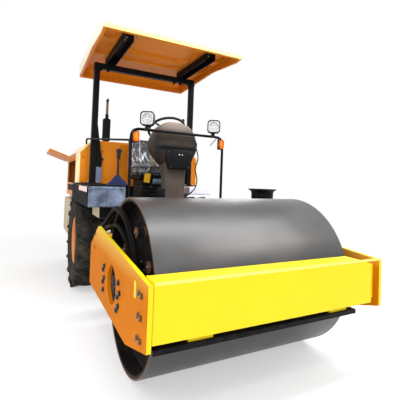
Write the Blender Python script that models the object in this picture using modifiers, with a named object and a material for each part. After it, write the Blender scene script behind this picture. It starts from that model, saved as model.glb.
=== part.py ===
"""Articulated road roller with one smooth drum, two lugged tyres and an open operator's platform.

Metres. The machine is drawn with X forward from the drum's axis, Y to the machine's left and Z up
from the ground. The empty "machine" then carries the whole model to the middle of its footprint.
"""
import math

import bmesh
import bpy
from mathutils import Matrix, Vector

# clearances
SEAT = 0.0003
BEARING = 0.0005
RUNNING = 0.006

# drum
DRUM_R = 0.570
DRUM_WIDTH = 1.440
DRUM_SHELL = 0.028
HEAD_INSET = 0.110
HEAD_T = 0.024
BUFFERS = 6
BUFFER_R = 0.038
BUFFER_CIRCLE_R = 0.330
BUFFER_LENGTH = 0.070
HEAD_PORT_R = 0.030
VIBRATOR_R = 0.145

# yoke round the drum
PLATE_GAP = 0.080
PLATE_T = 0.025
PLATE_HOLE_R = 0.125
YOKE_FRONT_GAP = 0.180
YOKE_HEEL = 0.021
YOKE_BOTTOM = 0.350
YOKE_NOSE_BOTTOM = 0.467
YOKE_NOSE_TOP = 0.775
YOKE_APEX_X = -0.553
YOKE_APEX_Z = 0.874
YOKE_HEEL_TOP = 0.682
YOKE_CHIN_X = 0.390
BEAM_DEPTH = 0.120
BEAM_BOTTOM = 0.497
BEAM_TOP = 0.790
BEAM_OPEN_END = 0.070
REAR_BEAM_GAP = 0.150
REAR_BEAM_DEPTH = 0.115
REAR_BEAM_BOTTOM = 0.400
REAR_BEAM_TOP = 0.770
SCRAPER_T = 0.010
SCRAPER_DROP = 0.026
SCRAPER_LEFT = 0.590
CARRIER_HUB_R = 0.105
CARRIER_T = 0.018
CARRIER_FRONT = 0.205
CARRIER_REAR = -0.285
CARRIER_HALF_H = 0.165
STUB_R = 0.050
CUP_RIM_R = 0.146
CUP_FOOT = 0.930
CUP_HEIGHT = 0.282

# centre joint
HITCH_X = -1.080
HITCH_Z = 0.595
PIN_R = 0.035
KNUCKLE_R = 0.085
KNUCKLE_HALF_H = 0.120
LUG_T = 0.045
TRUNNION_R = 0.060
CYLINDER_Y = 0.215
CYLINDER_ARM_X = 0.050
CYLINDER_BACK = 0.560
BARREL_R = 0.036
ROD_R = 0.018
EYE_R = 0.038
EYE_HALF_H = 0.020
EYE_PIN_R = 0.014
BARREL_LENGTH = 0.330
ROD_INSIDE = 0.160

# rear chassis and wheels
AXLE_X = -1.950
TYRE_R = 0.527
TYRE_HALF_W = 0.152
TYRE_CENTRE_Y = 0.720
LUG_COUNT = 16
LUG_DEPTH = 0.030
WHEEL_STEPS = 24
RIM_R = 0.255
RIM_HALF_W = 0.118
RIM_FLANGE = 0.016
HUB_R = 0.085
SPINDLE_R = 0.045
AXLE_TUBE_R = 0.075
RAIL_Y = 0.345
RAIL_W = 0.055
RAIL_BOTTOM = 0.660
RAIL_TOP = 0.940
RAIL_FRONT = -1.660
RAIL_REAR = -3.440
NOSE_HALF_W = 0.135
NOSE_FRONT = -1.262
WEIGHT_FRONT = -2.760
WEIGHT_REAR = -3.620
WEIGHT_HALF_W = 0.820
WEIGHT_WALL = 0.150
WEIGHT_PLATE = 0.022
WEIGHT_BOTTOM = 0.430
WEIGHT_TOP = 0.950

# operator's platform
DECK_FRONT = -0.870
DECK_REAR = -2.112
DECK_TOP = 1.030
DECK_T = 0.030
DECK_HALF_W = 0.530
DECK_WING = 0.090
DECK_WING_REAR = -1.395
STEP_DROP = 0.290
BOX_OUTER = 0.868
BOX_THICK = 0.100
BOX_DROP = 0.090
BOX_OVER_TYRE = 0.036
CONTROL_BOX_STEP = -1.385
LEFT_BOX_FRONT = -1.750
FOOT_BOX_HALF_W = 0.065

# hood
HOOD_GAP = 0.008
HOOD_REAR = -3.460
HOOD_HALF_W = 0.810
HOOD_SHOULDER = 1.580
HOOD_TOP = 1.735
HOOD_TOP_HALF_W = 0.660
HOOD_BOTTOM = 1.000
HOOD_FRONT_BOTTOM = 1.170
HOOD_SLANT = 0.380
HOOD_WALL = 0.014
DOOR_FROM_FRONT = 0.310
DOOR_FROM_REAR = 0.140
DOOR_TOP = 1.500
DOOR_HEIGHT = 0.325
DOOR_T = 0.020
DOOR_OPEN_DEG = 110.0
DOOR_LAP = 0.018
DOOR_EDGE = 0.004
DOOR_TOP_GAP = 0.016
HINGE_R = 0.009
HINGE_PIN_R = 0.004
HINGE_INSET = 0.060
VENT_HEIGHT = 0.090
VENT_DEPTH = 0.018
GRILLE_HALF_W = 0.520
GRILLE_BOTTOM = 1.070
GRILLE_TOP = 1.560
ENGINE_FROM_FRONT = 0.340
ENGINE_FROM_REAR = 0.210
ENGINE_HALF_W = 0.255
ENGINE_BOTTOM = 0.720
ENGINE_TOP = 1.430

# roll bar and roof
POST_FROM_DECK_END = 0.037
POST_Y = 0.650
POST_SIZE = 0.070
POST_TOP = 2.700
CANOPY_FRONT = -0.970
CANOPY_REAR = -2.735
CANOPY_HALF_W = 0.785
ROOF_CHANNEL_H = 0.072
CANOPY_CROWN = 0.068
CANOPY_LIP = 0.107
CANOPY_WALL = 0.030
CHANNEL_Y = 0.490
CHANNEL_W = 0.115
CHANNEL_FRONT = -1.200

# front hoop, lamps, rail
HOOP_X = -0.890
HOOP_FROM_DECK_SIDE = 0.030
HOOP_TOP = 1.745
TUBE_R = 0.014
LAMP_X = -0.835
LAMP_Y = 0.360
LAMP_Z = 1.842
LAMP_SIZE = 0.136
LAMP_DEPTH = 0.070
SIGNAL_Z = 1.666
SIGNAL_W = 0.062
SIGNAL_H = 0.104

# controls and seat
WHEEL_CENTRE = (-1.270, 0.0, 1.832)
WHEEL_R = 0.200
WHEEL_RIM_R = 0.014
WHEEL_TILT_DEG = 30.0
SEAT_X = -1.630
SEAT_HALF_W = 0.265
CUSHION_Z = (1.310, 1.430)
SEAT_BACK_TOP = 1.800
LEVER_X = -1.100
LEVER_Y = -0.562
BOOT_HEIGHT = 0.110
PEDAL_X = -1.185
PEDAL_Y = -0.245
LEVER_HEIGHT = 0.260
EXHAUST_FROM_FRONT = 0.135
EXHAUST_Y = -0.470
MUFFLER_R = 0.051
MUFFLER_TOP = 2.035
PIPE_TOP = 2.330
SLEEVE_TOP = 2.100

# places that follow from the sizes above
DRUM_END = DRUM_WIDTH / 2
PLATE_IN = DRUM_END + PLATE_GAP
PLATE_OUT = PLATE_IN + PLATE_T
HEAD_Y = DRUM_END - HEAD_INSET
YOKE_FRONT = DRUM_R + YOKE_FRONT_GAP
BEAM_BACK = YOKE_FRONT - BEAM_DEPTH
REAR_BEAM_FRONT = -(DRUM_R + REAR_BEAM_GAP)
REAR_BEAM_BACK = REAR_BEAM_FRONT - REAR_BEAM_DEPTH
YOKE_REAR = REAR_BEAM_BACK - YOKE_HEEL
BOX_BOTTOM = 2 * TYRE_R + BOX_OVER_TYRE
BOX_TOP = BOX_BOTTOM + BOX_THICK
BOX_LOW = BOX_BOTTOM - BOX_DROP
DECK_BOTTOM = DECK_TOP - DECK_T
HOOD_FRONT = DECK_REAR - HOOD_GAP
DOOR_FRONT = HOOD_FRONT - DOOR_FROM_FRONT
DOOR_REAR = HOOD_REAR + DOOR_FROM_REAR
ENGINE_X = (HOOD_REAR + ENGINE_FROM_REAR, HOOD_FRONT - ENGINE_FROM_FRONT)
POST_X = DECK_REAR + POST_FROM_DECK_END
CANOPY_UNDER = POST_TOP + ROOF_CHANNEL_H
CANOPY_TOP = CANOPY_UNDER + CANOPY_CROWN
HOOP_Y = DECK_HALF_W - HOOP_FROM_DECK_SIDE
EXHAUST_X = HOOD_FRONT - EXHAUST_FROM_FRONT
DOOR_HINGE_Y = HOOD_HALF_W + RUNNING + DOOR_T / 2
DOOR_HINGE_Z = DOOR_TOP
DOOR_OPEN = math.radians(DOOR_OPEN_DEG)
DOOR_TIP = DOOR_HEIGHT * math.sin(DOOR_OPEN) + (DOOR_T / 2 - DOOR_EDGE) * abs(math.cos(DOOR_OPEN))
DOOR_TIP_Y = DOOR_HINGE_Y + DOOR_TIP
MIDDLE_X = (YOKE_FRONT + WEIGHT_REAR) / 2
MIDDLE_Y = (PLATE_IN + CUP_RIM_R - DOOR_TIP_Y) / 2

# paint and surface: name, colour, roughness, metallic
SURFACES = {
    "yellow_paint": ((0.90, 0.68, 0.03), 0.42, 0.0),
    "plate_paint": ((0.72, 0.27, 0.03), 0.45, 0.0),
    "orange_paint": ((0.58, 0.16, 0.01), 0.42, 0.0),
    "roof_orange": ((0.58, 0.16, 0.01), 0.45, 0.0),
    "grey_paint": ((0.62, 0.62, 0.58), 0.50, 0.0),
    "black_paint": ((0.012, 0.012, 0.013), 0.45, 0.0),
    "drum_steel": ((0.36, 0.36, 0.36), 0.38, 0.9),
    "rod_steel": ((0.70, 0.70, 0.72), 0.18, 1.0),
    "cast_steel": ((0.05, 0.05, 0.055), 0.60, 0.5),
    "engine_alloy": ((0.11, 0.11, 0.12), 0.55, 0.6),
    "rim_paint": ((0.50, 0.17, 0.03), 0.50, 0.0),
    "tyre_rubber": ((0.015, 0.015, 0.016), 0.85, 0.0),
    "hose_rubber": ((0.010, 0.010, 0.010), 0.55, 0.0),
    "black_plastic": ((0.020, 0.018, 0.017), 0.50, 0.0),
    "seat_vinyl": ((0.030, 0.030, 0.032), 0.55, 0.0),
    "signal_orange": ((0.85, 0.16, 0.01), 0.25, 0.0),
    "boot_rubber": ((0.012, 0.020, 0.055), 0.60, 0.0),
}

for old in list(bpy.data.objects):
    bpy.data.objects.remove(old, do_unlink=True)

parts = bpy.data.collections.new("road_roller")
bpy.context.scene.collection.children.link(parts)
materials = {}
for surface, (colour, rough, metal) in SURFACES.items():
    material = bpy.data.materials.new(surface)
    material.use_nodes = True
    shader = material.node_tree.nodes["Principled BSDF"]
    shader.inputs["Base Color"].default_value = (*colour, 1.0)
    shader.inputs["Roughness"].default_value = rough
    shader.inputs["Metallic"].default_value = metal
    material.diffuse_color = (*colour, 1.0)
    materials[surface] = material

# turns that lay local Z along the named axis of the machine
LAY = {
    "Z": Matrix.Identity(4),
    "Y": Matrix.Rotation(math.radians(-90.0), 4, "X"),
    "X": Matrix.Rotation(math.radians(90.0), 4, "Y"),
}


def raw(name, mesh):
    """A loose object in the scene that still has to become a part or a tool."""
    obj = bpy.data.objects.new(name, mesh)
    bpy.context.scene.collection.objects.link(obj)
    return obj


def from_bmesh(name, bm):
    bmesh.ops.recalc_face_normals(bm, faces=bm.faces)
    mesh = bpy.data.meshes.new(name)
    bm.to_mesh(mesh)
    bm.free()
    return raw(name, mesh)


def settled(obj):
    """The object's shape with its modifiers as a plain welded mesh, under the same name."""
    bpy.context.view_layer.update()
    graph = bpy.context.evaluated_depsgraph_get()
    mesh = bpy.data.meshes.new_from_object(obj.evaluated_get(graph))
    mesh.transform(obj.matrix_world)
    bm = bmesh.new()
    bm.from_mesh(mesh)
    bmesh.ops.remove_doubles(bm, verts=bm.verts, dist=0.00001)
    bmesh.ops.recalc_face_normals(bm, faces=bm.faces)
    bm.to_mesh(mesh)
    bm.free()
    name = obj.name
    bpy.data.objects.remove(obj, do_unlink=True)
    return raw(name, mesh)


def box(name, x, y, z, bevel=0.0, segments=1):
    """A box between the given limits, its edges rounded or chamfered by bevel."""
    bm = bmesh.new()
    bmesh.ops.create_cube(bm, size=1.0)
    size = Vector((x[1] - x[0], y[1] - y[0], z[1] - z[0]))
    middle = Vector(((x[0] + x[1]) / 2, (y[0] + y[1]) / 2, (z[0] + z[1]) / 2))
    bmesh.ops.scale(bm, vec=size, verts=bm.verts)
    bmesh.ops.translate(bm, vec=middle, verts=bm.verts)
    if bevel > 0.0:
        bmesh.ops.bevel(bm, geom=bm.edges[:], offset=bevel, segments=segments, profile=0.5, affect="EDGES")
    return from_bmesh(name, bm)


def rod(name, axis, centre, radius, span, sides=20, end_radius=None):
    """A round bar or cone along the axis, over the span of that coordinate."""
    bm = bmesh.new()
    length = span[1] - span[0]
    far = radius if end_radius is None else end_radius
    bmesh.ops.create_cone(bm, cap_ends=True, segments=sides, radius1=radius, radius2=far, depth=length)
    middle = (span[0] + span[1]) / 2
    place = {"X": (middle, *centre), "Y": (centre[0], middle, centre[1]), "Z": (*centre, middle)}[axis]
    bmesh.ops.transform(bm, matrix=Matrix.Translation(place) @ LAY[axis], verts=bm.verts)
    return from_bmesh(name, bm)


def circle(radius, centre=(0.0, 0.0), count=28):
    return [(centre[0] + radius * math.cos(2 * math.pi * k / count),
             centre[1] + radius * math.sin(2 * math.pi * k / count)) for k in range(count)]


def slab(name, axis, span, outline, holes=()):
    """A flat outline with holes, drawn in the two other coordinates and extruded over the span."""
    curve = bpy.data.curves.new(name, "CURVE")
    curve.dimensions = "2D"
    curve.fill_mode = "BOTH"
    curve.extrude = (span[1] - span[0]) / 2
    for ring in (outline, *holes):
        spline = curve.splines.new("POLY")
        spline.points.add(len(ring) - 1)
        for point, (u, v) in zip(spline.points, ring):
            point.co = (u, v, 0.0, 1.0)
        spline.use_cyclic_u = True
    obj = raw(name, curve)
    middle = (span[0] + span[1]) / 2
    turn = {
        "Z": Matrix.Identity(4),
        "Y": Matrix(((1, 0, 0, 0), (0, 0, -1, 0), (0, 1, 0, 0), (0, 0, 0, 1))),
        "X": Matrix(((0, 0, 1, 0), (1, 0, 0, 0), (0, 1, 0, 0), (0, 0, 0, 1))),
    }[axis]
    shift = {"X": (middle, 0, 0), "Y": (0, middle, 0), "Z": (0, 0, middle)}[axis]
    obj.matrix_world = Matrix.Translation(shift) @ turn
    return settled(obj)


def turned(name, axis, centre, profile, steps=24, closed=False):
    """A turned shape: profile points are (radius, place along the axis), top to bottom."""
    mesh = bpy.data.meshes.new(name)
    edges = [(k, k + 1) for k in range(len(profile) - 1)]
    if closed:
        edges.append((len(profile) - 1, 0))
    mesh.from_pydata([(r, 0.0, h) for r, h in profile], edges, [])
    obj = raw(name, mesh)
    screw = obj.modifiers.new("Turn", "SCREW")
    screw.axis = "Z"
    screw.steps = steps
    screw.render_steps = steps
    screw.use_merge_vertices = True
    screw.merge_threshold = 0.0001
    place = {"X": (0.0, *centre), "Y": (centre[0], 0.0, centre[1]), "Z": (*centre, 0.0)}[axis]
    obj.matrix_world = Matrix.Translation(place) @ LAY[axis]
    return settled(obj)


def tube(name, points, radius, resolution=2):
    """A round tube or hose through the points, with flat ends."""
    curve = bpy.data.curves.new(name, "CURVE")
    curve.dimensions = "3D"
    curve.bevel_depth = radius
    curve.bevel_resolution = resolution
    curve.use_fill_caps = True
    spline = curve.splines.new("POLY")
    spline.points.add(len(points) - 1)
    for point, place in zip(spline.points, points):
        point.co = (*place, 1.0)
    return settled(raw(name, curve))


def bent(corners, radius, steps=5):
    """Points of a bent tube: straight runs between the corners, each corner rounded."""
    path = [Vector(corners[0])]
    for before, corner, after in zip(corners, corners[1:], corners[2:]):
        corner = Vector(corner)
        back = (Vector(before) - corner).normalized()
        ahead = (Vector(after) - corner).normalized()
        half = back.angle(ahead) / 2
        reach = radius / math.tan(half)
        start = corner + back * reach
        end = corner + ahead * reach
        for k in range(steps + 1):
            t = k / steps
            path.append(start * (1 - t) ** 2 + corner * 2 * t * (1 - t) + end * t ** 2)
    path.append(Vector(corners[-1]))
    return path


def smooth_path(knots, steps=6):
    """Points of a smooth curve through the knots."""
    knots = [Vector(k) for k in knots]
    ends = [2 * knots[0] - knots[1], *knots, 2 * knots[-1] - knots[-2]]
    path = []
    for a, b, c, d in zip(ends, ends[1:], ends[2:], ends[3:]):
        for k in range(steps):
            t = k / steps
            path.append(0.5 * (2 * b + (c - a) * t + (2 * a - 5 * b + 4 * c - d) * t ** 2
                               + (3 * b - a - 3 * c + d) * t ** 3))
    path.append(knots[-1])
    return path


def loft(name, rings):
    """A closed skin over rings of the same number of points, capped at both ends."""
    bm = bmesh.new()
    rows = [[bm.verts.new(place) for place in ring] for ring in rings]
    count = len(rows[0])
    for low, high in zip(rows, rows[1:]):
        for k in range(count):
            bm.faces.new((low[k], low[(k + 1) % count], high[(k + 1) % count], high[k]))
    bm.faces.new(rows[0])
    bm.faces.new(rows[-1])
    return from_bmesh(name, bm)


def combine(base, operation, tools):
    """Joins tools to the base or cuts them from it, then clears them away."""
    for tool in tools:
        modifier = base.modifiers.new(operation.title(), "BOOLEAN")
        modifier.operation = operation
        modifier.solver = "EXACT"
        modifier.object = tool
    result = settled(base)
    for tool in tools:
        bpy.data.objects.remove(tool, do_unlink=True)
    return result


def join(base, *tools):
    return combine(base, "UNION", tools)


def cut(base, *tools):
    return combine(base, "DIFFERENCE", tools)


def rounded(obj, width, segments=2, angle=40.0):
    """Edges sharper than the angle get a small round."""
    bevel = obj.modifiers.new("Round", "BEVEL")
    bevel.width = width
    bevel.segments = segments
    bevel.limit_method = "ANGLE"
    bevel.angle_limit = math.radians(angle)
    bevel.use_clamp_overlap = True
    return settled(obj)


# bodies: name, parent body, place of the axis
BODIES = (
    ("machine", None, (0.0, 0.0, 0.0)),
    ("rear_frame", "machine", (AXLE_X, 0.0, TYRE_R)),
    ("steer_axis", "rear_frame", (HITCH_X, 0.0, HITCH_Z)),
    ("tilt_axis", "steer_axis", (HITCH_X, 0.0, HITCH_Z)),
    ("drum_axis", "tilt_axis", (0.0, 0.0, DRUM_R)),
    ("wheel_axis_right", "rear_frame", (AXLE_X, -TYRE_CENTRE_Y, TYRE_R)),
    ("wheel_axis_left", "rear_frame", (AXLE_X, TYRE_CENTRE_Y, TYRE_R)),
    ("door_hinge_right", "rear_frame", (DOOR_FRONT, -DOOR_HINGE_Y, DOOR_HINGE_Z)),
    ("door_hinge_left", "rear_frame", (DOOR_FRONT, DOOR_HINGE_Y, DOOR_HINGE_Z)),
    ("steering_axis", "rear_frame", WHEEL_CENTRE),
    ("barrel_pin", "rear_frame", (HITCH_X + CYLINDER_ARM_X - CYLINDER_BACK, CYLINDER_Y, HITCH_Z)),
    ("rod_slide", "barrel_pin", (HITCH_X + CYLINDER_ARM_X, CYLINDER_Y, HITCH_Z)),
)
empties = {}
places = {}
for body, parent, place in BODIES:
    empty = bpy.data.objects.new(body, None)
    empty.empty_display_size = 0.15
    parts.objects.link(empty)
    if parent:
        empty.parent = empties[parent]
        empty.location = Vector(place) - places[parent]
    empties[body] = empty
    places[body] = Vector(place)
empties["machine"].location = (-MIDDLE_X, -MIDDLE_Y, 0.0)


def part(obj, surface, body, origin=None, smooth=35.0):
    """Turns a finished shape into a named part of a body, with its origin on the body's axis."""
    origin = Vector(origin) if origin else places[body]
    mesh = obj.data
    mesh.transform(Matrix.Translation(-origin))
    mesh.materials.clear()
    mesh.materials.append(materials[surface])
    mesh.shade_smooth()
    mesh.set_sharp_from_angle(angle=math.radians(smooth))
    obj.parent = empties[body]
    obj.location = origin - places[body]
    bpy.context.scene.collection.objects.unlink(obj)
    parts.objects.link(obj)
    return obj


SIDES = (("right", -1.0), ("left", 1.0))


def span(side, low, high):
    """Limits across the machine on one side, from the inner and outer distance to its middle."""
    return tuple(sorted((side * low, side * high)))


# drum
shell_in = DRUM_R - DRUM_SHELL
head_in = HEAD_Y - HEAD_T
bore = STUB_R + BEARING
boss = HEAD_Y + 0.028
drum = turned(
    "drum", "Y", (0.0, DRUM_R), [(DRUM_R, DRUM_END), (DRUM_R, -DRUM_END), (shell_in, -DRUM_END),
    (shell_in, -HEAD_Y), (0.175, -HEAD_Y), (0.165, -boss), (bore, -boss), (bore, -head_in), (shell_in,
    -head_in), (shell_in, head_in), (bore, head_in), (bore, boss), (0.165, boss), (0.175, HEAD_Y),
    (shell_in, HEAD_Y), (shell_in, DRUM_END)], steps=44, closed=True)
buffers = []
ports = []
for side_name, side in SIDES:
    for k in range(BUFFERS):
        angle = 2 * math.pi * (k + 0.5) / BUFFERS
        centre = (BUFFER_CIRCLE_R * math.cos(angle), DRUM_R + BUFFER_CIRCLE_R * math.sin(angle))
        buffers.append(rod("buffer", "Y", centre, BUFFER_R,
                           span(side, HEAD_Y - HEAD_T / 2, HEAD_Y + BUFFER_LENGTH), sides=8))
    for angle in (0.0, math.pi):
        centre = (BUFFER_CIRCLE_R * math.cos(angle), DRUM_R + BUFFER_CIRCLE_R * math.sin(angle))
        ports.append(rod("port", "Y", centre, HEAD_PORT_R, span(side, head_in - 0.05, HEAD_Y + 0.05),
                         sides=8))
vibrator = rod("vibrator", "Y", (0.0, DRUM_R), VIBRATOR_R, (-head_in - HEAD_T / 4, head_in + HEAD_T / 4),
               sides=20)
drum = join(drum, vibrator, *buffers)
drum = cut(drum, *ports)
part(drum, "drum_steel", "drum_axis")

# yoke
outline = [(YOKE_APEX_X, YOKE_APEX_Z), (YOKE_REAR, YOKE_HEEL_TOP), (YOKE_REAR + 0.008, YOKE_BOTTOM),
           (YOKE_CHIN_X, YOKE_BOTTOM + 0.006), (YOKE_FRONT, YOKE_NOSE_BOTTOM), (YOKE_FRONT, YOKE_NOSE_TOP)]
for side_name, side in SIDES:
    plate = slab("yoke_plate_" + side_name, "Y", span(side, PLATE_IN, PLATE_OUT), outline,
                 [circle(PLATE_HOLE_R, (0.0, DRUM_R), 24)])
    part(plate, "plate_paint", "tilt_axis", origin=(0.0, side * PLATE_IN, DRUM_R))

beam_right = -(PLATE_IN - SEAT)
beam_left = PLATE_IN - BEAM_OPEN_END
face = [(beam_right, BEAM_BOTTOM), (beam_left, BEAM_BOTTOM), (beam_left, BEAM_TOP - 0.035),
        (beam_left - 0.125, BEAM_TOP), (beam_right, BEAM_TOP)]
beam = rounded(slab("front_beam", "X", (BEAM_BACK, YOKE_FRONT), face), 0.008)
flange = box("flange", (BEAM_BACK + 0.012, YOKE_FRONT - 0.045), (beam_left - 0.03, PLATE_IN - SEAT),
             (BEAM_BOTTOM + 0.012, BEAM_TOP - 0.052))
hangers = []
for low, high in ((-0.600, -0.459), (0.376, 0.522)):
    hangers.append(box("hanger", (BEAM_BACK + 0.02, YOKE_FRONT - 0.03), (low, high),
                       (BEAM_BOTTOM - SCRAPER_DROP, BEAM_BOTTOM + 0.02)))
beam = join(beam, flange, *hangers)
part(beam, "yellow_paint", "tilt_axis", origin=(BEAM_BACK, 0.0, BEAM_BOTTOM))

scraper_z = BEAM_BOTTOM - SCRAPER_DROP - SEAT
scraper_back = math.sqrt(DRUM_R ** 2 - (DRUM_R - scraper_z + SCRAPER_T) ** 2) + RUNNING + 0.004
scraper = box("scraper", (scraper_back, YOKE_FRONT - 0.012), (-(PLATE_IN - 0.012), SCRAPER_LEFT),
              (scraper_z - SCRAPER_T, scraper_z))
lip = box("lip", (YOKE_FRONT - 0.024, YOKE_FRONT - 0.012), (-(PLATE_IN - 0.012), SCRAPER_LEFT),
          (scraper_z - 0.024, scraper_z))
part(join(scraper, lip), "black_paint", "tilt_axis", origin=(scraper_back, 0.0, scraper_z))

rear_beam = box("rear_beam", (REAR_BEAM_BACK, REAR_BEAM_FRONT), (-(PLATE_IN - SEAT), PLATE_IN - SEAT),
                (REAR_BEAM_BOTTOM, REAR_BEAM_TOP), bevel=0.010)
housing = rod("housing", "X", (0.0, HITCH_Z), 0.150, (REAR_BEAM_BACK - 0.040, REAR_BEAM_FRONT - 0.02),
              sides=20)
rear_beam = join(rear_beam, housing)
bore_tool = rod(
    "bore", "X", (0.0, HITCH_Z), TRUNNION_R + BEARING, (REAR_BEAM_BACK - 0.2, REAR_BEAM_FRONT + 0.2),
    sides=32)
part(cut(rear_beam, bore_tool), "yellow_paint", "tilt_axis")

hub_inner = HEAD_Y + 0.028 + RUNNING
for side_name, side in SIDES:
    chamfer = 0.060
    low, high = DRUM_R - CARRIER_HALF_H, DRUM_R + CARRIER_HALF_H
    shape = [
        (CARRIER_REAR, low + chamfer), (CARRIER_REAR + chamfer, low), (CARRIER_FRONT - chamfer, low),
        (CARRIER_FRONT, low + chamfer), (CARRIER_FRONT, high - chamfer), (CARRIER_FRONT - chamfer,
        high), (CARRIER_REAR + chamfer, high), (CARRIER_REAR, high - chamfer)]
    outer = PLATE_IN - SEAT
    carrier = slab("drum_carrier_" + side_name, "Y", span(side, outer - CARRIER_T, outer), shape)
    hub = rod("hub", "Y", (0.0, DRUM_R), CARRIER_HUB_R, span(side, hub_inner, outer - 0.01), sides=24)
    stub = rod("stub", "Y", (0.0, DRUM_R), STUB_R, span(side, HEAD_Y - HEAD_T / 4, hub_inner + 0.01),
               sides=44)
    tools = [hub, stub]
    if side < 0:
        tools.append(
            box("ports", (CARRIER_FRONT - 0.075, CARRIER_FRONT - 0.004), span(side, outer - 0.062,
            outer - 0.005), (DRUM_R - 0.070, DRUM_R + 0.060)))
    carrier = join(carrier, *tools)
    recess = rod(
        "recess", "Y", (0.0, DRUM_R), CARRIER_HUB_R - 0.022, span(side, hub_inner + 0.030,
        outer + 0.05), sides=24)
    part(cut(carrier, recess), "black_paint", "tilt_axis", origin=(0.0, side * outer, DRUM_R))

# hydraulic hoses of the drum drive, from the cross beam over the drum to the port block
hose_y = -(DRUM_END + PLATE_GAP / 2)
beam_seat = REAR_BEAM_TOP + SEAT
port_seat = CARRIER_FRONT - 0.004 + SEAT
HOSES = (
    # name, radius, knots (x, z)
    ("hose_outer", 0.021, (
        (-0.810, beam_seat), (-0.810, beam_seat + 0.020), (-0.810, 0.815), (-0.768, 0.850), (-0.585, 0.894),
        (-0.400, 0.980), (-0.213, 1.045), (0.060, 1.000), (0.237, 0.880), (0.325, 0.740), (0.325, 0.620),
        (port_seat + 0.060, 0.528), (port_seat + 0.030, 0.528), (port_seat, 0.528))),
    ("hose_inner", 0.017, (
        (-0.745, beam_seat), (-0.745, beam_seat + 0.010), (-0.745, 0.796), (-0.703, 0.818), (-0.420, 0.878),
        (-0.200, 0.928), (-0.010, 0.905), (0.120, 0.850), (0.215, 0.760), (0.260, 0.680), (0.250, 0.625),
        (port_seat + 0.030, 0.602), (port_seat + 0.015, 0.602), (port_seat, 0.602))),
)
for name, radius, knots in HOSES:
    points = smooth_path([(x, hose_y, z) for x, z in knots], steps=2)
    part(tube(name, points, radius), "hose_rubber", "tilt_axis", origin=(knots[0][0], hose_y, knots[0][1]))

# filler cup on a strap at the yoke's rear left corner
cup_x = YOKE_APEX_X - 0.004
cup_top = CUP_FOOT + CUP_HEIGHT
cup = turned(
    "filler_cup", "Z", (cup_x, PLATE_IN), [(0.0, cup_top - 0.112), (0.098, cup_top - 0.112), (0.102,
    cup_top - 0.007), (CUP_RIM_R - 0.006, cup_top), (CUP_RIM_R, cup_top - 0.006), (0.112,
    cup_top - 0.032), (0.108, CUP_FOOT + 0.070), (0.030, CUP_FOOT + 0.045), (0.030, CUP_FOOT), (0.0,
    CUP_FOOT)], steps=20)
strap = box("strap", (cup_x - 0.035, cup_x + 0.035), (PLATE_IN - 0.022, PLATE_IN - SEAT),
            (CUP_FOOT - 0.230, CUP_FOOT + 0.055))
part(join(cup, strap), "black_plastic", "tilt_axis", origin=(cup_x, PLATE_IN, CUP_FOOT))

# centre joint
knuckle = rod(
    "knuckle", "Z", (HITCH_X, 0.0), KNUCKLE_R, (HITCH_Z - KNUCKLE_HALF_H, HITCH_Z + KNUCKLE_HALF_H),
    sides=24)
flange_x = REAR_BEAM_BACK - 0.040 - RUNNING
collar = rod("collar", "X", (0.0, HITCH_Z), 0.110, (flange_x - 0.022, flange_x), sides=24)
neck = rod("neck", "X", (0.0, HITCH_Z), TRUNNION_R + 0.022, (HITCH_X, flange_x - 0.01), sides=24)
trunnion = rod("trunnion", "X", (0.0, HITCH_Z), TRUNNION_R, (HITCH_X + 0.04, REAR_BEAM_FRONT + 0.012),
               sides=32)
eye_x = HITCH_X + CYLINDER_ARM_X
arm_top = HITCH_Z - EYE_HALF_H - SEAT
arm_outline = [(HITCH_X - 0.035, 0.030), (HITCH_X + 0.060, 0.030), (eye_x + 0.038, CYLINDER_Y)]
arm_outline += [(eye_x + 0.038 * math.cos(a), CYLINDER_Y + 0.038 * math.sin(a))
                for a in (math.pi * k / 6 for k in range(1, 6))]
arm_outline.append((eye_x - 0.038, CYLINDER_Y))
arm = slab("arm", "Z", (arm_top - 0.030, arm_top), arm_outline)
knuckle = join(knuckle, neck, collar, trunnion, arm)
pin_bore = rod("pin_bore", "Z", (HITCH_X, 0.0), PIN_R + BEARING, (HITCH_Z - 0.3, HITCH_Z + 0.3), sides=24)
knuckle = cut(knuckle, pin_bore)
knuckle.name = "hitch_knuckle"
part(knuckle, "cast_steel", "steer_axis")

# steering cylinder
anchor_x = eye_x - CYLINDER_BACK
barrel_start = anchor_x + EYE_R - 0.004
barrel_end = barrel_start + BARREL_LENGTH
bore_r = ROD_R + BEARING
rod_tail = barrel_end - ROD_INSIDE
barrel = turned(
    "cylinder_barrel", "X", (CYLINDER_Y, HITCH_Z), [(0.0, barrel_end - 0.300), (bore_r,
    barrel_end - 0.300), (bore_r, barrel_end), (BARREL_R - 0.006, barrel_end), (BARREL_R - 0.006,
    barrel_end - 0.028), (BARREL_R, barrel_end - 0.028), (BARREL_R, barrel_start), (0.0, barrel_start)],
    steps=20)
barrel_eye = rod("eye", "Z", (anchor_x, CYLINDER_Y), EYE_R, (HITCH_Z - EYE_HALF_H, HITCH_Z + EYE_HALF_H),
                 sides=20)
barrel = join(barrel, barrel_eye)
eye_bore = rod("eye_bore", "Z", (anchor_x, CYLINDER_Y), EYE_PIN_R + BEARING, (HITCH_Z - 0.1, HITCH_Z + 0.1),
               sides=16)
part(cut(barrel, eye_bore), "black_paint", "barrel_pin")
piston = rod("cylinder_rod", "X", (CYLINDER_Y, HITCH_Z), ROD_R, (rod_tail, eye_x - 0.02), sides=20)
rod_eye = rod("eye", "Z", (eye_x, CYLINDER_Y), EYE_R, (HITCH_Z - EYE_HALF_H, HITCH_Z + EYE_HALF_H),
              sides=20)
cap = rod(
    "cap", "Z", (eye_x, CYLINDER_Y), EYE_PIN_R + 0.008, (HITCH_Z + EYE_HALF_H - 0.002,
    HITCH_Z + EYE_HALF_H + 0.014), sides=12)
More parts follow.
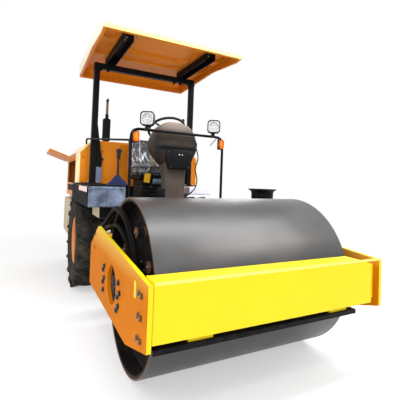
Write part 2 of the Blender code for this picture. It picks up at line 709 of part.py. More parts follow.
part(join(piston, rod_eye, cap), "rod_steel", "rod_slide")

# chassis
nose = box("chassis", (RAIL_FRONT - 0.02, NOSE_FRONT), (-NOSE_HALF_W, NOSE_HALF_W),
           (HITCH_Z - KNUCKLE_HALF_H - LUG_T - RUNNING, HITCH_Z + KNUCKLE_HALF_H + LUG_T + RUNNING))
pieces = []
lug_half_w = 0.110
lug_shape = [(NOSE_FRONT - 0.05, -lug_half_w), (HITCH_X, -lug_half_w)]
lug_shape += [(HITCH_X + lug_half_w * math.sin(a), -lug_half_w * math.cos(a))
              for a in (math.pi * k / 10 for k in range(1, 10))]
lug_shape += [(HITCH_X, lug_half_w), (NOSE_FRONT - 0.05, lug_half_w)]
lug_in = KNUCKLE_HALF_H + RUNNING
for direction in (-1.0, 1.0):
    low, high = sorted((HITCH_Z + direction * lug_in, HITCH_Z + direction * (lug_in + LUG_T)))
    pieces.append(slab("lug", "Z", (low, high), lug_shape))
pieces.append(
    rod("pin", "Z", (HITCH_X, 0.0), PIN_R, (HITCH_Z - lug_in - LUG_T - 0.012,
    HITCH_Z + lug_in + LUG_T + 0.012), sides=24))
for side_name, side in SIDES:
    pieces.append(
        box("rail", (RAIL_REAR, RAIL_FRONT), span(side, RAIL_Y, RAIL_Y + RAIL_W), (RAIL_BOTTOM,
        RAIL_TOP)))
cross_low = HITCH_Z - KNUCKLE_HALF_H - LUG_T - RUNNING
for x_low, x_high, z_low, z_high in (
        (RAIL_FRONT - 0.09, RAIL_FRONT, cross_low, RAIL_TOP),
        (AXLE_X - 0.380, AXLE_X - 0.300, RAIL_BOTTOM, RAIL_TOP - 0.02),
        (RAIL_REAR, RAIL_REAR + 0.06, RAIL_BOTTOM, RAIL_TOP)):
    pieces.append(box("cross", (x_low, x_high), (-RAIL_Y - 0.02, RAIL_Y + 0.02), (z_low, z_high)))
bracket_low = HITCH_Z - EYE_HALF_H - SEAT
pieces.append(
    box("bracket", (RAIL_FRONT - 0.03, barrel_start - RUNNING), (CYLINDER_Y - 0.034,
    CYLINDER_Y + 0.034), (bracket_low - 0.024, bracket_low)))
pieces.append(rod("bracket_pin", "Z", (anchor_x, CYLINDER_Y), EYE_PIN_R,
                  (bracket_low - 0.01, HITCH_Z + EYE_HALF_H + 0.012), sides=16))
part(join(nose, *pieces), "black_paint", "rear_frame")

axle = rod("rear_axle", "Y", (AXLE_X, TYRE_R), AXLE_TUBE_R, (-0.520, 0.520), sides=22)
pieces = [turned("bowl", "Y", (AXLE_X, TYRE_R), [(0.0, 0.130), (0.090, 0.120), (0.140, 0.075), (0.155, 0.0),
                                                (0.140, -0.075), (0.090, -0.120), (0.0, -0.130)], steps=18)]
for side_name, side in SIDES:
    pieces.append(rod("brake", "Y", (AXLE_X, TYRE_R), 0.115, span(side, 0.480, TYRE_CENTRE_Y - 0.086),
                      sides=20))
    pieces.append(rod("spindle", "Y", (AXLE_X, TYRE_R), SPINDLE_R, span(side, 0.50, TYRE_CENTRE_Y + 0.072),
                      sides=16))
    pieces.append(box("pad", (AXLE_X - 0.11, AXLE_X + 0.11), span(side, RAIL_Y, RAIL_Y + RAIL_W),
                      (TYRE_R + 0.021, RAIL_BOTTOM - SEAT)))
part(join(axle, *pieces), "cast_steel", "rear_frame", origin=(AXLE_X, 0.0, TYRE_R))

weight = box("counterweight", (WEIGHT_REAR, WEIGHT_FRONT), (-WEIGHT_HALF_W, WEIGHT_HALF_W),
             (WEIGHT_BOTTOM, WEIGHT_TOP))
weight = rounded(weight, 0.020, segments=2, angle=60.0)
hollow = box(
    "hollow", (RAIL_REAR - SEAT, WEIGHT_FRONT + 0.1), (-(WEIGHT_HALF_W - WEIGHT_WALL),
    WEIGHT_HALF_W - WEIGHT_WALL), (WEIGHT_BOTTOM - 0.1, WEIGHT_TOP + 0.1))
arm_in = WEIGHT_HALF_W - WEIGHT_WALL + WEIGHT_PLATE
arm_out = WEIGHT_HALF_W - WEIGHT_PLATE
void_outline = [
     (WEIGHT_FRONT - 0.03, arm_out), (WEIGHT_REAR + WEIGHT_PLATE, arm_out), (WEIGHT_REAR + WEIGHT_PLATE,
    -arm_out), (WEIGHT_FRONT - 0.03, -arm_out), (WEIGHT_FRONT - 0.03, -arm_in),
    (RAIL_REAR - WEIGHT_PLATE, -arm_in), (RAIL_REAR - WEIGHT_PLATE, arm_in), (WEIGHT_FRONT - 0.03,
    arm_in)]
void = slab("void", "Z", (WEIGHT_BOTTOM - 0.1, WEIGHT_TOP - WEIGHT_PLATE), void_outline)
part(cut(weight, hollow, void), "grey_paint", "rear_frame", origin=(RAIL_REAR, 0.0, WEIGHT_BOTTOM))

# wheels
bead = RIM_R + SEAT
half_bead = RIM_HALF_W - 0.014
carcass = TYRE_R - LUG_DEPTH
TYRE_SECTION = (
    # radius, distance from the tyre's middle plane
    (carcass, 0.070), (carcass - 0.016, 0.120), (carcass - 0.048, 0.145), (carcass - 0.115, TYRE_HALF_W),
    (RIM_R + 0.020, half_bead), (bead, half_bead))
profile = [(r, -y) for r, y in TYRE_SECTION] + [(r, y) for r, y in reversed(TYRE_SECTION)]
lug_length = 0.170
lug_width = 0.038
lug_slant = math.radians(33.0)
reach = (lug_length * math.sin(lug_slant) + lug_width * math.cos(lug_slant)) / 2
lug_top = math.sqrt(TYRE_R ** 2 - reach ** 2)
lug_phase = math.atan2(reach, lug_top)
for side_name, side in SIDES:
    centre_y = side * TYRE_CENTRE_Y
    tyre = turned("tyre_" + side_name, "Y", (AXLE_X, TYRE_R), [(r, centre_y + y) for r, y in profile],
                  steps=WHEEL_STEPS,
                  closed=True)
    bm = bmesh.new()
    for hand in (-1.0, 1.0):
        for k in range(LUG_COUNT):
            angle = 2 * math.pi * (k + (0.5 if hand > 0 else 0.0)) / LUG_COUNT - lug_phase
            turn = Matrix.Rotation(angle, 4, "Y")
            lift = Matrix.Translation((0.0, hand * (TYRE_HALF_W - 0.077), (lug_top + carcass - 0.060) / 2))
            slant = Matrix.Rotation(hand * lug_slant, 4, "Z")
            size = Matrix.Diagonal((lug_width, lug_length, lug_top - carcass + 0.060, 1.0))
            place = Matrix.Translation((AXLE_X, centre_y, TYRE_R))
            bmesh.ops.create_cube(bm, size=1.0, matrix=place @ turn @ lift @ slant @ size)
    lugs = from_bmesh("lugs", bm)
    part(join(tyre, lugs), "tyre_rubber", "wheel_axis_" + side_name)

    wall = 0.010
    dish = 0.020
    rim = turned("rim_" + side_name, "Y", (AXLE_X, TYRE_R), [(r, centre_y + side * y) for r, y in (
        (RIM_R, half_bead + SEAT), (RIM_R, -half_bead - SEAT), (RIM_R + RIM_FLANGE, -half_bead - SEAT),
        (RIM_R + RIM_FLANGE, -RIM_HALF_W), (RIM_R - wall, -RIM_HALF_W), (RIM_R - wall, dish - 0.012),
        (0.150, dish - 0.012), (0.110, -0.026), (SPINDLE_R + BEARING, -0.026),
        (SPINDLE_R + BEARING, 0.060), (HUB_R - 0.010, 0.060), (0.118, -0.008), (0.155, dish),
        (RIM_R - wall, dish), (RIM_R - wall, RIM_HALF_W), (RIM_R + RIM_FLANGE, RIM_HALF_W),
        (RIM_R + RIM_FLANGE, half_bead + SEAT))], steps=WHEEL_STEPS, closed=True)
    part(rim, "rim_paint", "wheel_axis_" + side_name)

# platform
deck_outline = [
    (DECK_FRONT, -DECK_HALF_W), (DECK_FRONT, DECK_HALF_W + DECK_WING), (DECK_WING_REAR,
    DECK_HALF_W + DECK_WING), (DECK_WING_REAR, DECK_HALF_W), (DECK_REAR, DECK_HALF_W), (DECK_REAR,
    -DECK_HALF_W)]
deck = slab("deck", "Z", (DECK_BOTTOM, DECK_TOP), deck_outline)
pieces = []
for side_name, side in SIDES:
    pieces.append(
        box("runner", (DECK_REAR + 0.03, DECK_FRONT - 0.03), span(side, RAIL_Y + 0.005,
        RAIL_Y + RAIL_W - 0.005), (RAIL_TOP + SEAT, DECK_BOTTOM + 0.005)))
pieces.append(
    box("apron", (DECK_FRONT - 0.012, DECK_FRONT), (-DECK_HALF_W, DECK_HALF_W), (DECK_TOP - 0.105,
    DECK_BOTTOM + 0.01)))
step_low = DECK_TOP - STEP_DROP
for x in (DECK_WING_REAR + 0.015, -1.215):
    pieces.append(box("strap", (x - 0.005, x + 0.005), (DECK_HALF_W - 0.03, DECK_HALF_W + DECK_WING),
                      (step_low, DECK_BOTTOM + 0.01)))
pieces.append(box("tread", (DECK_WING_REAR + 0.010, -1.210), (DECK_HALF_W - 0.03, DECK_HALF_W + DECK_WING),
                  (step_low, step_low + 0.025)))
part(join(deck, *pieces), "grey_paint", "rear_frame", origin=(DECK_FRONT, 0.0, DECK_TOP))

box_in = DECK_HALF_W + SEAT
side_view = [(DECK_FRONT, BOX_LOW), (DECK_FRONT, BOX_TOP), (DECK_REAR, BOX_TOP), (DECK_REAR, BOX_BOTTOM),
             (CONTROL_BOX_STEP - 0.05, BOX_BOTTOM), (CONTROL_BOX_STEP, BOX_LOW)]
control_box = rounded(slab("control_box", "Y", span(-1.0, box_in, BOX_OUTER), side_view), 0.012)
foot_box = box(
    "foot_box", (CONTROL_BOX_STEP, DECK_FRONT - 0.13), span(-1.0, box_in + 0.08,
    box_in + 0.08 + 2 * FOOT_BOX_HALF_W), (BOX_LOW - 0.115, BOX_LOW + 0.01), bevel=0.006)
part(join(control_box, foot_box), "grey_paint", "rear_frame", origin=(DECK_FRONT, -box_in, BOX_TOP))
side_box = box(
    "side_box_left", (DECK_REAR, LEFT_BOX_FRONT), span(1.0, box_in, BOX_OUTER), (BOX_BOTTOM, BOX_TOP),
    bevel=0.012, segments=2)
part(side_box, "grey_paint", "rear_frame", origin=(DECK_REAR, box_in, BOX_TOP))

# hood
def hood_outline(inset, bottom):
    return [
        (-(HOOD_HALF_W - inset), bottom), (HOOD_HALF_W - inset, bottom), (HOOD_HALF_W - inset,
        HOOD_SHOULDER - inset * 0.4), (HOOD_TOP_HALF_W - inset * 0.4, HOOD_TOP - inset),
        (-(HOOD_TOP_HALF_W - inset * 0.4), HOOD_TOP - inset), (-(HOOD_HALF_W - inset),
        HOOD_SHOULDER - inset * 0.4)]


hood = rounded(slab("hood", "X", (HOOD_REAR, HOOD_FRONT), hood_outline(0.0, HOOD_BOTTOM)), 0.014,
               angle=35.0)
inside = slab(
    "inside", "X", (HOOD_REAR + HOOD_WALL, HOOD_FRONT - HOOD_WALL), hood_outline(HOOD_WALL,
    HOOD_BOTTOM - 0.05))
corner = slab("corner", "Y", (-1.0, 1.0), [
    (HOOD_FRONT + 0.05, HOOD_FRONT_BOTTOM), (HOOD_FRONT - 0.02, HOOD_FRONT_BOTTOM),
    (HOOD_FRONT - HOOD_SLANT, HOOD_BOTTOM - 0.001), (HOOD_FRONT - HOOD_SLANT, HOOD_BOTTOM - 0.05),
    (HOOD_FRONT + 0.05, HOOD_BOTTOM - 0.05)])
door_low = DOOR_TOP - DOOR_HEIGHT
openings = []
vent_top = door_low - 0.010
for side_name, side in SIDES:
    openings.append(
        box("door_hole", (DOOR_REAR + DOOR_LAP, DOOR_FRONT - DOOR_LAP), span(side, HOOD_HALF_W - 0.1,
        HOOD_HALF_W + 0.1), (door_low + DOOR_LAP, DOOR_TOP - DOOR_LAP)))
    openings.append(
        box("vent_hole", (DOOR_REAR + DOOR_LAP, HOOD_FRONT - HOOD_SLANT - 0.01), span(side,
        HOOD_HALF_W - 0.1, HOOD_HALF_W + 0.1), (vent_top - VENT_HEIGHT, vent_top)))
openings.append(box("grille_hole", (HOOD_REAR - 0.1, HOOD_REAR + 0.1), (-GRILLE_HALF_W, GRILLE_HALF_W),
                    (GRILLE_BOTTOM, GRILLE_TOP)))
hood = cut(hood, inside, corner, *openings)
# hinge ears on the hood's sides, each with a pin that the door's roll turns on
ears = []
for side_name, side in SIDES:
    for x, inward in ((DOOR_FRONT - HINGE_INSET, -1.0), (DOOR_REAR + HINGE_INSET, 1.0)):
        near, far = x - inward * BEARING, x - inward * 0.024
        ears.append(
            box("ear", tuple(sorted((near, far))), span(side, HOOD_HALF_W - 0.008,
            DOOR_HINGE_Y + HINGE_R), (DOOR_HINGE_Z - HINGE_R, DOOR_HINGE_Z + HINGE_R)))
        ears.append(rod("pin", "X", (side * DOOR_HINGE_Y, DOOR_HINGE_Z), HINGE_PIN_R,
                        tuple(sorted((x - inward * 0.012, x + inward * 0.030))), sides=10))
part(join(hood, *ears), "orange_paint", "rear_frame", origin=(HOOD_FRONT, 0.0, HOOD_BOTTOM))


def slatted(name, axis, span_along, wide, tall, frame, pitch, thickness):
    """A framed panel of sloping slats: wide and tall are the panel's limits across and up."""
    outer = [(wide[0], tall[0]), (wide[1], tall[0]), (wide[1], tall[1]), (wide[0], tall[1])]
    inner = [(wide[0] + frame, tall[0] + frame), (wide[1] - frame, tall[0] + frame),
             (wide[1] - frame, tall[1] - frame), (wide[0] + frame, tall[1] - frame)]
    panel = slab(name, axis, span_along, outer, [inner])
    bm = bmesh.new()
    middle = (span_along[0] + span_along[1]) / 2
    depth = span_along[1] - span_along[0]
    count = int((tall[1] - tall[0] - 2 * frame) / pitch)
    start = (tall[0] + tall[1]) / 2 - pitch * (count - 1) / 2
    length = wide[1] - wide[0] - frame
    across = (wide[0] + wide[1]) / 2
    for k in range(count):
        z = start + pitch * k
        if axis == "Y":
            place = Matrix.Translation(
                (across, middle, z)) @ Matrix.Rotation(math.radians(-35.0 if middle > 0 else 35.0), 4,
                "X")
            size = Matrix.Diagonal((length, depth, thickness, 1.0))
        else:
            place = Matrix.Translation((middle, across, z)) @ Matrix.Rotation(math.radians(-35.0), 4, "Y")
            size = Matrix.Diagonal((depth, length, thickness, 1.0))
        bmesh.ops.create_cube(bm, size=1.0, matrix=place @ size)
    return join(panel, from_bmesh("slats", bm))


for side_name, side in SIDES:
    vent = slatted("side_vent_" + side_name, "Y", span(side, HOOD_HALF_W - VENT_DEPTH, HOOD_HALF_W - 0.003),
                   (DOOR_REAR + DOOR_LAP + SEAT, HOOD_FRONT - HOOD_SLANT - 0.01 - SEAT),
                   (vent_top - VENT_HEIGHT + SEAT, vent_top - SEAT), 0.012, 0.020, 0.004)
    part(vent, "black_paint", "rear_frame", origin=(DOOR_REAR, side * HOOD_HALF_W, vent_top))
grille = slatted("rear_grille", "X", (HOOD_REAR + 0.003, HOOD_REAR + VENT_DEPTH),
                 (-GRILLE_HALF_W + SEAT, GRILLE_HALF_W - SEAT), (GRILLE_BOTTOM + SEAT, GRILLE_TOP - SEAT),
                 0.022, 0.040, 0.005)
part(grille, "black_paint", "rear_frame", origin=(HOOD_REAR, 0.0, GRILLE_BOTTOM))

engine = box("engine", ENGINE_X, (-ENGINE_HALF_W, ENGINE_HALF_W), (ENGINE_BOTTOM, ENGINE_TOP), bevel=0.020)
mount_z = (RAIL_BOTTOM + 0.140, RAIL_BOTTOM + 0.200)
mounts = [box("mount", (x - 0.05, x + 0.05), (-RAIL_Y + SEAT, RAIL_Y - SEAT), mount_z)
          for x in (ENGINE_X[0] + 0.150, ENGINE_X[1] - 0.180)]
part(join(engine, *mounts), "engine_alloy", "rear_frame", origin=(ENGINE_X[1], 0.0, ENGINE_BOTTOM))

# doors hang from a hinge along the hood's side; the right one stands open
for side_name, side in SIDES:
    y_in = HOOD_HALF_W + RUNNING
    panel = box("hood_door_" + side_name, (DOOR_REAR, DOOR_FRONT), span(side, y_in, y_in + DOOR_T),
                (door_low, DOOR_HINGE_Z - DOOR_TOP_GAP), bevel=DOOR_EDGE)
    ends = (DOOR_REAR + HINGE_INSET, DOOR_FRONT - HINGE_INSET)
    roll = rod("roll", "X", (side * DOOR_HINGE_Y, DOOR_HINGE_Z), HINGE_R, ends, sides=14)
    web = box(
        "web", (ends[0] + 0.004, ends[1] - 0.004), span(side, DOOR_HINGE_Y - 0.005,
        DOOR_HINGE_Y + 0.005), (DOOR_HINGE_Z - DOOR_TOP_GAP - 0.006, DOOR_HINGE_Z - 0.002))
    panel = join(panel, roll, web)
    sockets = [
        rod("socket", "X", (side * DOOR_HINGE_Y, DOOR_HINGE_Z), HINGE_PIN_R + BEARING, (end - 0.034,
        end + 0.034), sides=10) for end in ends]
    panel = cut(panel, *sockets)
    if side < 0:
        hinge = Matrix.Translation((0.0, side * DOOR_HINGE_Y, DOOR_HINGE_Z))
        panel.data.transform(
            hinge @ Matrix.Rotation(math.radians(side * DOOR_OPEN_DEG), 4, "X") @ hinge.inverted())
    part(panel, "orange_paint", "door_hinge_" + side_name)

# roll bar and roof
half_post = POST_SIZE / 2
rops = box("rops", (POST_X - half_post, POST_X + half_post), (-POST_Y - half_post, POST_Y + half_post),
           (POST_TOP - POST_SIZE, POST_TOP), bevel=0.008)
pieces = []
for side_name, side in SIDES:
    pieces.append(
        box("post", (POST_X - half_post, POST_X + half_post), span(side, POST_Y - half_post,
        POST_Y + half_post), (BOX_TOP + 0.010, POST_TOP - 0.02), bevel=0.008))
    pieces.append(
        box("foot", (DECK_REAR + 0.002, POST_X + half_post + 0.035), span(side,
        POST_Y - half_post - 0.05, POST_Y + half_post + 0.05), (BOX_TOP + SEAT, BOX_TOP + 0.018)))
    inner = POST_Y - half_post + 0.01
    pieces.append(
        slab("gusset", "X", (POST_X - 0.010, POST_X + 0.010), [(side * inner, BOX_TOP + 0.840),
        (side * inner, BOX_TOP + 0.012), (side * (inner - 0.060), BOX_TOP + 0.012),
        (side * (inner - 0.085), BOX_TOP + 0.310), (side * (inner - 0.060), BOX_TOP + 0.430)]))
    pieces.append(box("channel", (POST_X - half_post, CHANNEL_FRONT),
                      span(side, CHANNEL_Y - CHANNEL_W / 2, CHANNEL_Y + CHANNEL_W / 2),
                      (POST_TOP - 0.010, CANOPY_UNDER - SEAT)))
rops = join(rops, *pieces)
troughs = [
    box("trough", (POST_X + half_post + 0.004, CHANNEL_FRONT + 0.05), span(side,
    CHANNEL_Y - CHANNEL_W / 2 + 0.008, CHANNEL_Y + CHANNEL_W / 2 - 0.008), (POST_TOP - 0.05,
    CANOPY_UNDER - 0.010)) for side_name, side in SIDES]
part(cut(rops, *troughs), "black_paint", "rear_frame", origin=(POST_X, 0.0, BOX_TOP))

lip_top = CANOPY_TOP - CANOPY_LIP
skirt = lip_top - 0.061
side_view = [
    (CANOPY_FRONT, lip_top - 0.043), (CANOPY_FRONT, lip_top), (CANOPY_FRONT - 0.20, CANOPY_TOP - 0.022),
    (CANOPY_FRONT - 0.34, CANOPY_TOP), (CANOPY_REAR + 0.10, CANOPY_TOP), (CANOPY_REAR,
    CANOPY_TOP - 0.055), (CANOPY_REAR, skirt - 0.002), (CANOPY_FRONT - 0.69, skirt + 0.044),
    (CANOPY_FRONT - 0.12, skirt)]
canopy = rounded(slab("canopy", "Y", (-CANOPY_HALF_W, CANOPY_HALF_W), side_view), 0.016, angle=50.0)
lid_view = [(CANOPY_FRONT - CANOPY_WALL, skirt - 0.072), (CANOPY_FRONT - CANOPY_WALL, lip_top - 0.021),
            (CANOPY_FRONT - 0.20, CANOPY_UNDER - 0.006), (CANOPY_FRONT - 0.225, CANOPY_UNDER),
            (CANOPY_REAR + CANOPY_WALL, CANOPY_UNDER), (CANOPY_REAR + CANOPY_WALL, skirt - 0.072)]
under = slab("under", "Y", (-(CANOPY_HALF_W - CANOPY_WALL), CANOPY_HALF_W - CANOPY_WALL), lid_view)
part(cut(canopy, under), "roof_orange", "rear_frame", origin=(CANOPY_FRONT, 0.0, CANOPY_UNDER))

# front hoop, lamps, signals, rail
foot = DECK_TOP + SEAT
hoop_path = bent(
    [(HOOP_X, -HOOP_Y, foot), (HOOP_X, -HOOP_Y, HOOP_TOP), (HOOP_X, HOOP_Y, HOOP_TOP), (HOOP_X, HOOP_Y,
    foot)], 0.085)
part(tube("light_hoop", hoop_path, TUBE_R), "black_paint", "rear_frame", origin=(HOOP_X, 0.0, foot))
half_lamp = LAMP_SIZE / 2
for side_name, side in SIDES:
    y = side * LAMP_Y
    lamp = box(
        "headlamp_" + side_name, (LAMP_X - LAMP_DEPTH / 2, LAMP_X + LAMP_DEPTH / 2), (y - half_lamp,
        y + half_lamp), (LAMP_Z - half_lamp, LAMP_Z + half_lamp))
    lamp = rounded(lamp, 0.030, segments=3)
    stand = box("stand", (LAMP_X - LAMP_DEPTH / 2 + 0.004, LAMP_X - 0.002), (y - 0.018, y + 0.018),
                (HOOP_TOP - 0.012, LAMP_Z - half_lamp + 0.01))
    clamp = box("clamp", (HOOP_X + TUBE_R + SEAT, LAMP_X - 0.002), (y - 0.018, y + 0.018),
                (HOOP_TOP - 0.012, HOOP_TOP + 0.006))
    part(join(lamp, stand, clamp), "black_plastic", "rear_frame", origin=(LAMP_X, y, LAMP_Z))
    y_out = HOOP_Y - 0.008
    signal = box(
        "turn_signal_" + side_name, (HOOP_X + TUBE_R + SEAT, HOOP_X + TUBE_R + 0.046), span(side,
        y_out - SIGNAL_W, y_out), (SIGNAL_Z - SIGNAL_H / 2, SIGNAL_Z + SIGNAL_H / 2))
    arm_y = HOOP_Y - TUBE_R - SEAT
    arm = box("arm", (HOOP_X - 0.008, HOOP_X + TUBE_R + 0.012), span(side, arm_y - 0.016, arm_y),
              (SIGNAL_Z - 0.042, SIGNAL_Z - 0.012))
    part(
        join(rounded(signal, 0.012, segments=2), arm), "signal_orange", "rear_frame", origin=(HOOP_X,
        side * y_out, SIGNAL_Z))
rail_y = POST_Y + half_post + 0.036
chamfer_z = HOOD_TOP - (
    rail_y - HOOD_TOP_HALF_W) * (HOOD_TOP - HOOD_SHOULDER) / (HOOD_HALF_W - HOOD_TOP_HALF_W)
rail_z = HOOP_TOP - 0.105
rail_path = bent(
    [(HOOP_X - TUBE_R - SEAT, -HOOP_Y, rail_z), (HOOP_X - TUBE_R - 0.050, -HOOP_Y, rail_z),
    (HOOD_FRONT - 0.060, -rail_y, HOOD_TOP + 0.017), (HOOD_FRONT - 0.060, -rail_y, chamfer_z + 0.012)],
    0.030)
part(
    tube("handrail_right", rail_path, 0.011), "black_paint", "rear_frame", origin=(HOOP_X, -HOOP_Y,
    rail_z))

# console
CONSOLE_FRONT = -0.917
CONSOLE = (
    # height over the platform, half width, setback of the front and of the rear, squareness
    (SEAT, 0.125, 0.038, 0.198, 5.0),
    (0.050, 0.112, 0.043, 0.183, 5.0),
    (0.300, 0.112, 0.046, 0.188, 5.0),
    (0.390, 0.130, 0.038, 0.223, 4.0),
    (0.460, 0.190, 0.023, 0.278, 3.4),
    (0.530, 0.232, 0.008, 0.323, 3.0),
    (0.595, 0.248, 0.000, 0.343, 2.8),
    (0.660, 0.242, 0.006, 0.333, 2.6),
    (0.730, 0.214, 0.023, 0.298, 2.4),
    (0.790, 0.167, 0.048, 0.248, 2.3),
    (0.825, 0.112, 0.078, 0.203, 2.2),
    (0.842, 0.050, 0.110, 0.168, 2.0),
)
rings = []
for z, half_w, front_in, rear_in, square in CONSOLE:
    front, rear = CONSOLE_FRONT - front_in, CONSOLE_FRONT - rear_in
    ring = []
    for k in range(20):
        a = 2 * math.pi * k / 20
        c, s = math.cos(a), math.sin(a)
        u = math.copysign(abs(c) ** (2 / square), c)
        v = math.copysign(abs(s) ** (2 / square), s)
        ring.append(((front + rear) / 2 + (front - rear) / 2 * u, half_w * v, DECK_TOP + z))
    rings.append(ring)
steer_place = Matrix.Translation(WHEEL_CENTRE) @ Matrix.Rotation(math.radians(-WHEEL_TILT_DEG), 4, "Y")
shaft_length = 0.180
shaft_r = 0.016
socket = rod("socket", "Z", (0.0, 0.0), shaft_r + BEARING, (-shaft_length - 0.02, 0.0), sides=16)
socket.data.transform(steer_place)
part(
    cut(loft("console", rings), socket), "black_plastic", "rear_frame", origin=(CONSOLE_FRONT, 0.0,
    DECK_TOP))

# steering wheel on its tilted shaft
wheel = turned("steering_wheel", "Z", (0.0, 0.0), [
    (WHEEL_R + WHEEL_RIM_R * math.cos(a), WHEEL_RIM_R * math.sin(a))
    for a in (-2 * math.pi * k / 6 for k in range(6))], steps=24, closed=True)
pieces = [rod("hub", "Z", (0.0, 0.0), 0.042, (-0.040, 0.012), sides=16)]
for k in range(3):
    spoke = box("spoke", (0.030, WHEEL_R), (-0.013, 0.013), (-0.012, -0.003))
    spoke.data.transform(Matrix.Rotation(2 * math.pi * k / 3 + math.pi, 4, "Z"))
    pieces.append(spoke)
pieces.append(rod("knob_post", "Z", (WHEEL_R * math.cos(0.9), WHEEL_R * math.sin(0.9)), 0.007, (0.0, 0.040),
                  sides=8))
knob = turned("knob", "Z", (WHEEL_R * math.cos(0.9), WHEEL_R * math.sin(0.9)), [
    (0.0, 0.066), (0.014, 0.062), (0.020, 0.050), (0.014, 0.036), (0.0, 0.032)], steps=10)
pieces.append(knob)
pieces.append(rod("shaft", "Z", (0.0, 0.0), shaft_r, (-shaft_length, -0.03), sides=16))
wheel = join(wheel, *pieces)
wheel.data.transform(steer_place)
part(wheel, "black_plastic", "steering_axis")

# seat
seat_front = SEAT_X + 0.245
seat_rear = SEAT_X - 0.235
pedestal = box(
    "seat_base", (SEAT_X - 0.19, SEAT_X + 0.19), (-0.200, 0.200), (DECK_TOP + SEAT,
    CUSHION_Z[0] - 0.030), bevel=0.010)
pan = box("pan", (seat_rear + 0.02, seat_front - 0.02), (-SEAT_HALF_W + 0.015, SEAT_HALF_W - 0.015),
          (CUSHION_Z[0] - 0.045, CUSHION_Z[0] - SEAT), bevel=0.006)
part(join(pedestal, pan), "black_paint", "rear_frame", origin=(SEAT_X, 0.0, DECK_TOP))
cushion = rounded(box("seat_cushion", (seat_rear, seat_front), (-SEAT_HALF_W, SEAT_HALF_W), CUSHION_Z),
                  0.035, segments=3)
part(cushion, "seat_vinyl", "rear_frame", origin=(SEAT_X, 0.0, CUSHION_Z[0]))
back_low = CUSHION_Z[1] - 0.020
back = box(
    "seat_back", (seat_rear - 0.117, seat_rear - 0.0055), (-SEAT_HALF_W + 0.010, SEAT_HALF_W - 0.010),
    (back_low - 0.08, SEAT_BACK_TOP))
back = rounded(back, 0.038, segments=3)
lean = Matrix.Translation((seat_rear, 0.0, back_low)) @ Matrix.Rotation(math.radians(-7.0), 4, "Y")
back.data.transform(lean @ Matrix.Translation((-seat_rear, 0.0, -back_low)))
part(back, "seat_vinyl", "rear_frame", origin=(seat_rear, 0.0, back_low))

# travel lever and boot
boot_top = BOX_TOP + BOOT_HEIGHT
boot = turned(
    "lever_boot", "Z", (LEVER_X, LEVER_Y), [(0.0, boot_top), (0.017, boot_top), (0.022,
    boot_top - 0.032), (0.060, BOX_TOP + 0.050), (0.092, BOX_TOP + 0.032), (0.092, BOX_TOP + SEAT),
    (0.0, BOX_TOP + SEAT)], steps=20)
part(boot, "boot_rubber", "rear_frame", origin=(LEVER_X, LEVER_Y, BOX_TOP))
grip_top = boot_top + LEVER_HEIGHT
lever = turned("travel_lever", "Z", (LEVER_X, LEVER_Y), [
    (0.0, grip_top), (0.014, grip_top - 0.004), (0.020, grip_top - 0.030), (0.017, grip_top - 0.090),
    (0.009, grip_top - 0.098), (0.007, boot_top + SEAT), (0.0, boot_top + SEAT)], steps=14)
part(lever, "black_plastic", "rear_frame", origin=(LEVER_X, LEVER_Y, boot_top))

pedal_z = DECK_TOP + 0.082
pedal = box("brake_pedal", (-0.045, 0.045), (-0.045, 0.045), (-0.007, 0.008), bevel=0.004)
pedal.data.transform(
    Matrix.Translation((PEDAL_X, PEDAL_Y, pedal_z)) @ Matrix.Rotation(math.radians(22.0), 4, "Y"))
stem = box(
    "stem", (PEDAL_X - 0.011, PEDAL_X + 0.009), (PEDAL_Y - 0.010, PEDAL_Y + 0.010), (DECK_TOP + SEAT,
    pedal_z))
part(join(pedal, stem), "black_paint", "rear_frame", origin=(PEDAL_X, PEDAL_Y, DECK_TOP))

# exhaust
exhaust = turned(
    "exhaust", "Z", (EXHAUST_X, EXHAUST_Y), [(0.0, PIPE_TOP), (0.016, PIPE_TOP), (0.016,
    SLEEVE_TOP + 0.005), (0.021, SLEEVE_TOP), (0.021, MUFFLER_TOP + 0.012), (MUFFLER_R - 0.012,
    MUFFLER_TOP + 0.008), (MUFFLER_R, MUFFLER_TOP - 0.006), (MUFFLER_R, HOOD_TOP + 0.030),
    (MUFFLER_R - 0.012, HOOD_TOP + 0.018), (0.030, HOOD_TOP + 0.014), (0.030, HOOD_TOP + SEAT), (0.0,
    HOOD_TOP + SEAT)], steps=20)
tip = box("tip", (-0.05, 0.05), (-0.05, 0.05), (0.0, 0.1))
tip.data.transform(Matrix.Translation((EXHAUST_X, EXHAUST_Y,
                                       PIPE_TOP - 0.022)) @ Matrix.Rotation(math.radians(35.0), 4, "X"))
throat = rod("throat", "Z", (EXHAUST_X, EXHAUST_Y), 0.013, (PIPE_TOP - 0.10, PIPE_TOP + 0.02), sides=12)
part(cut(exhaust, tip, throat), "black_paint", "rear_frame", origin=(EXHAUST_X, EXHAUST_Y, HOOD_TOP))
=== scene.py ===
import math

import bpy
from mathutils import Euler, Matrix, Vector, noise


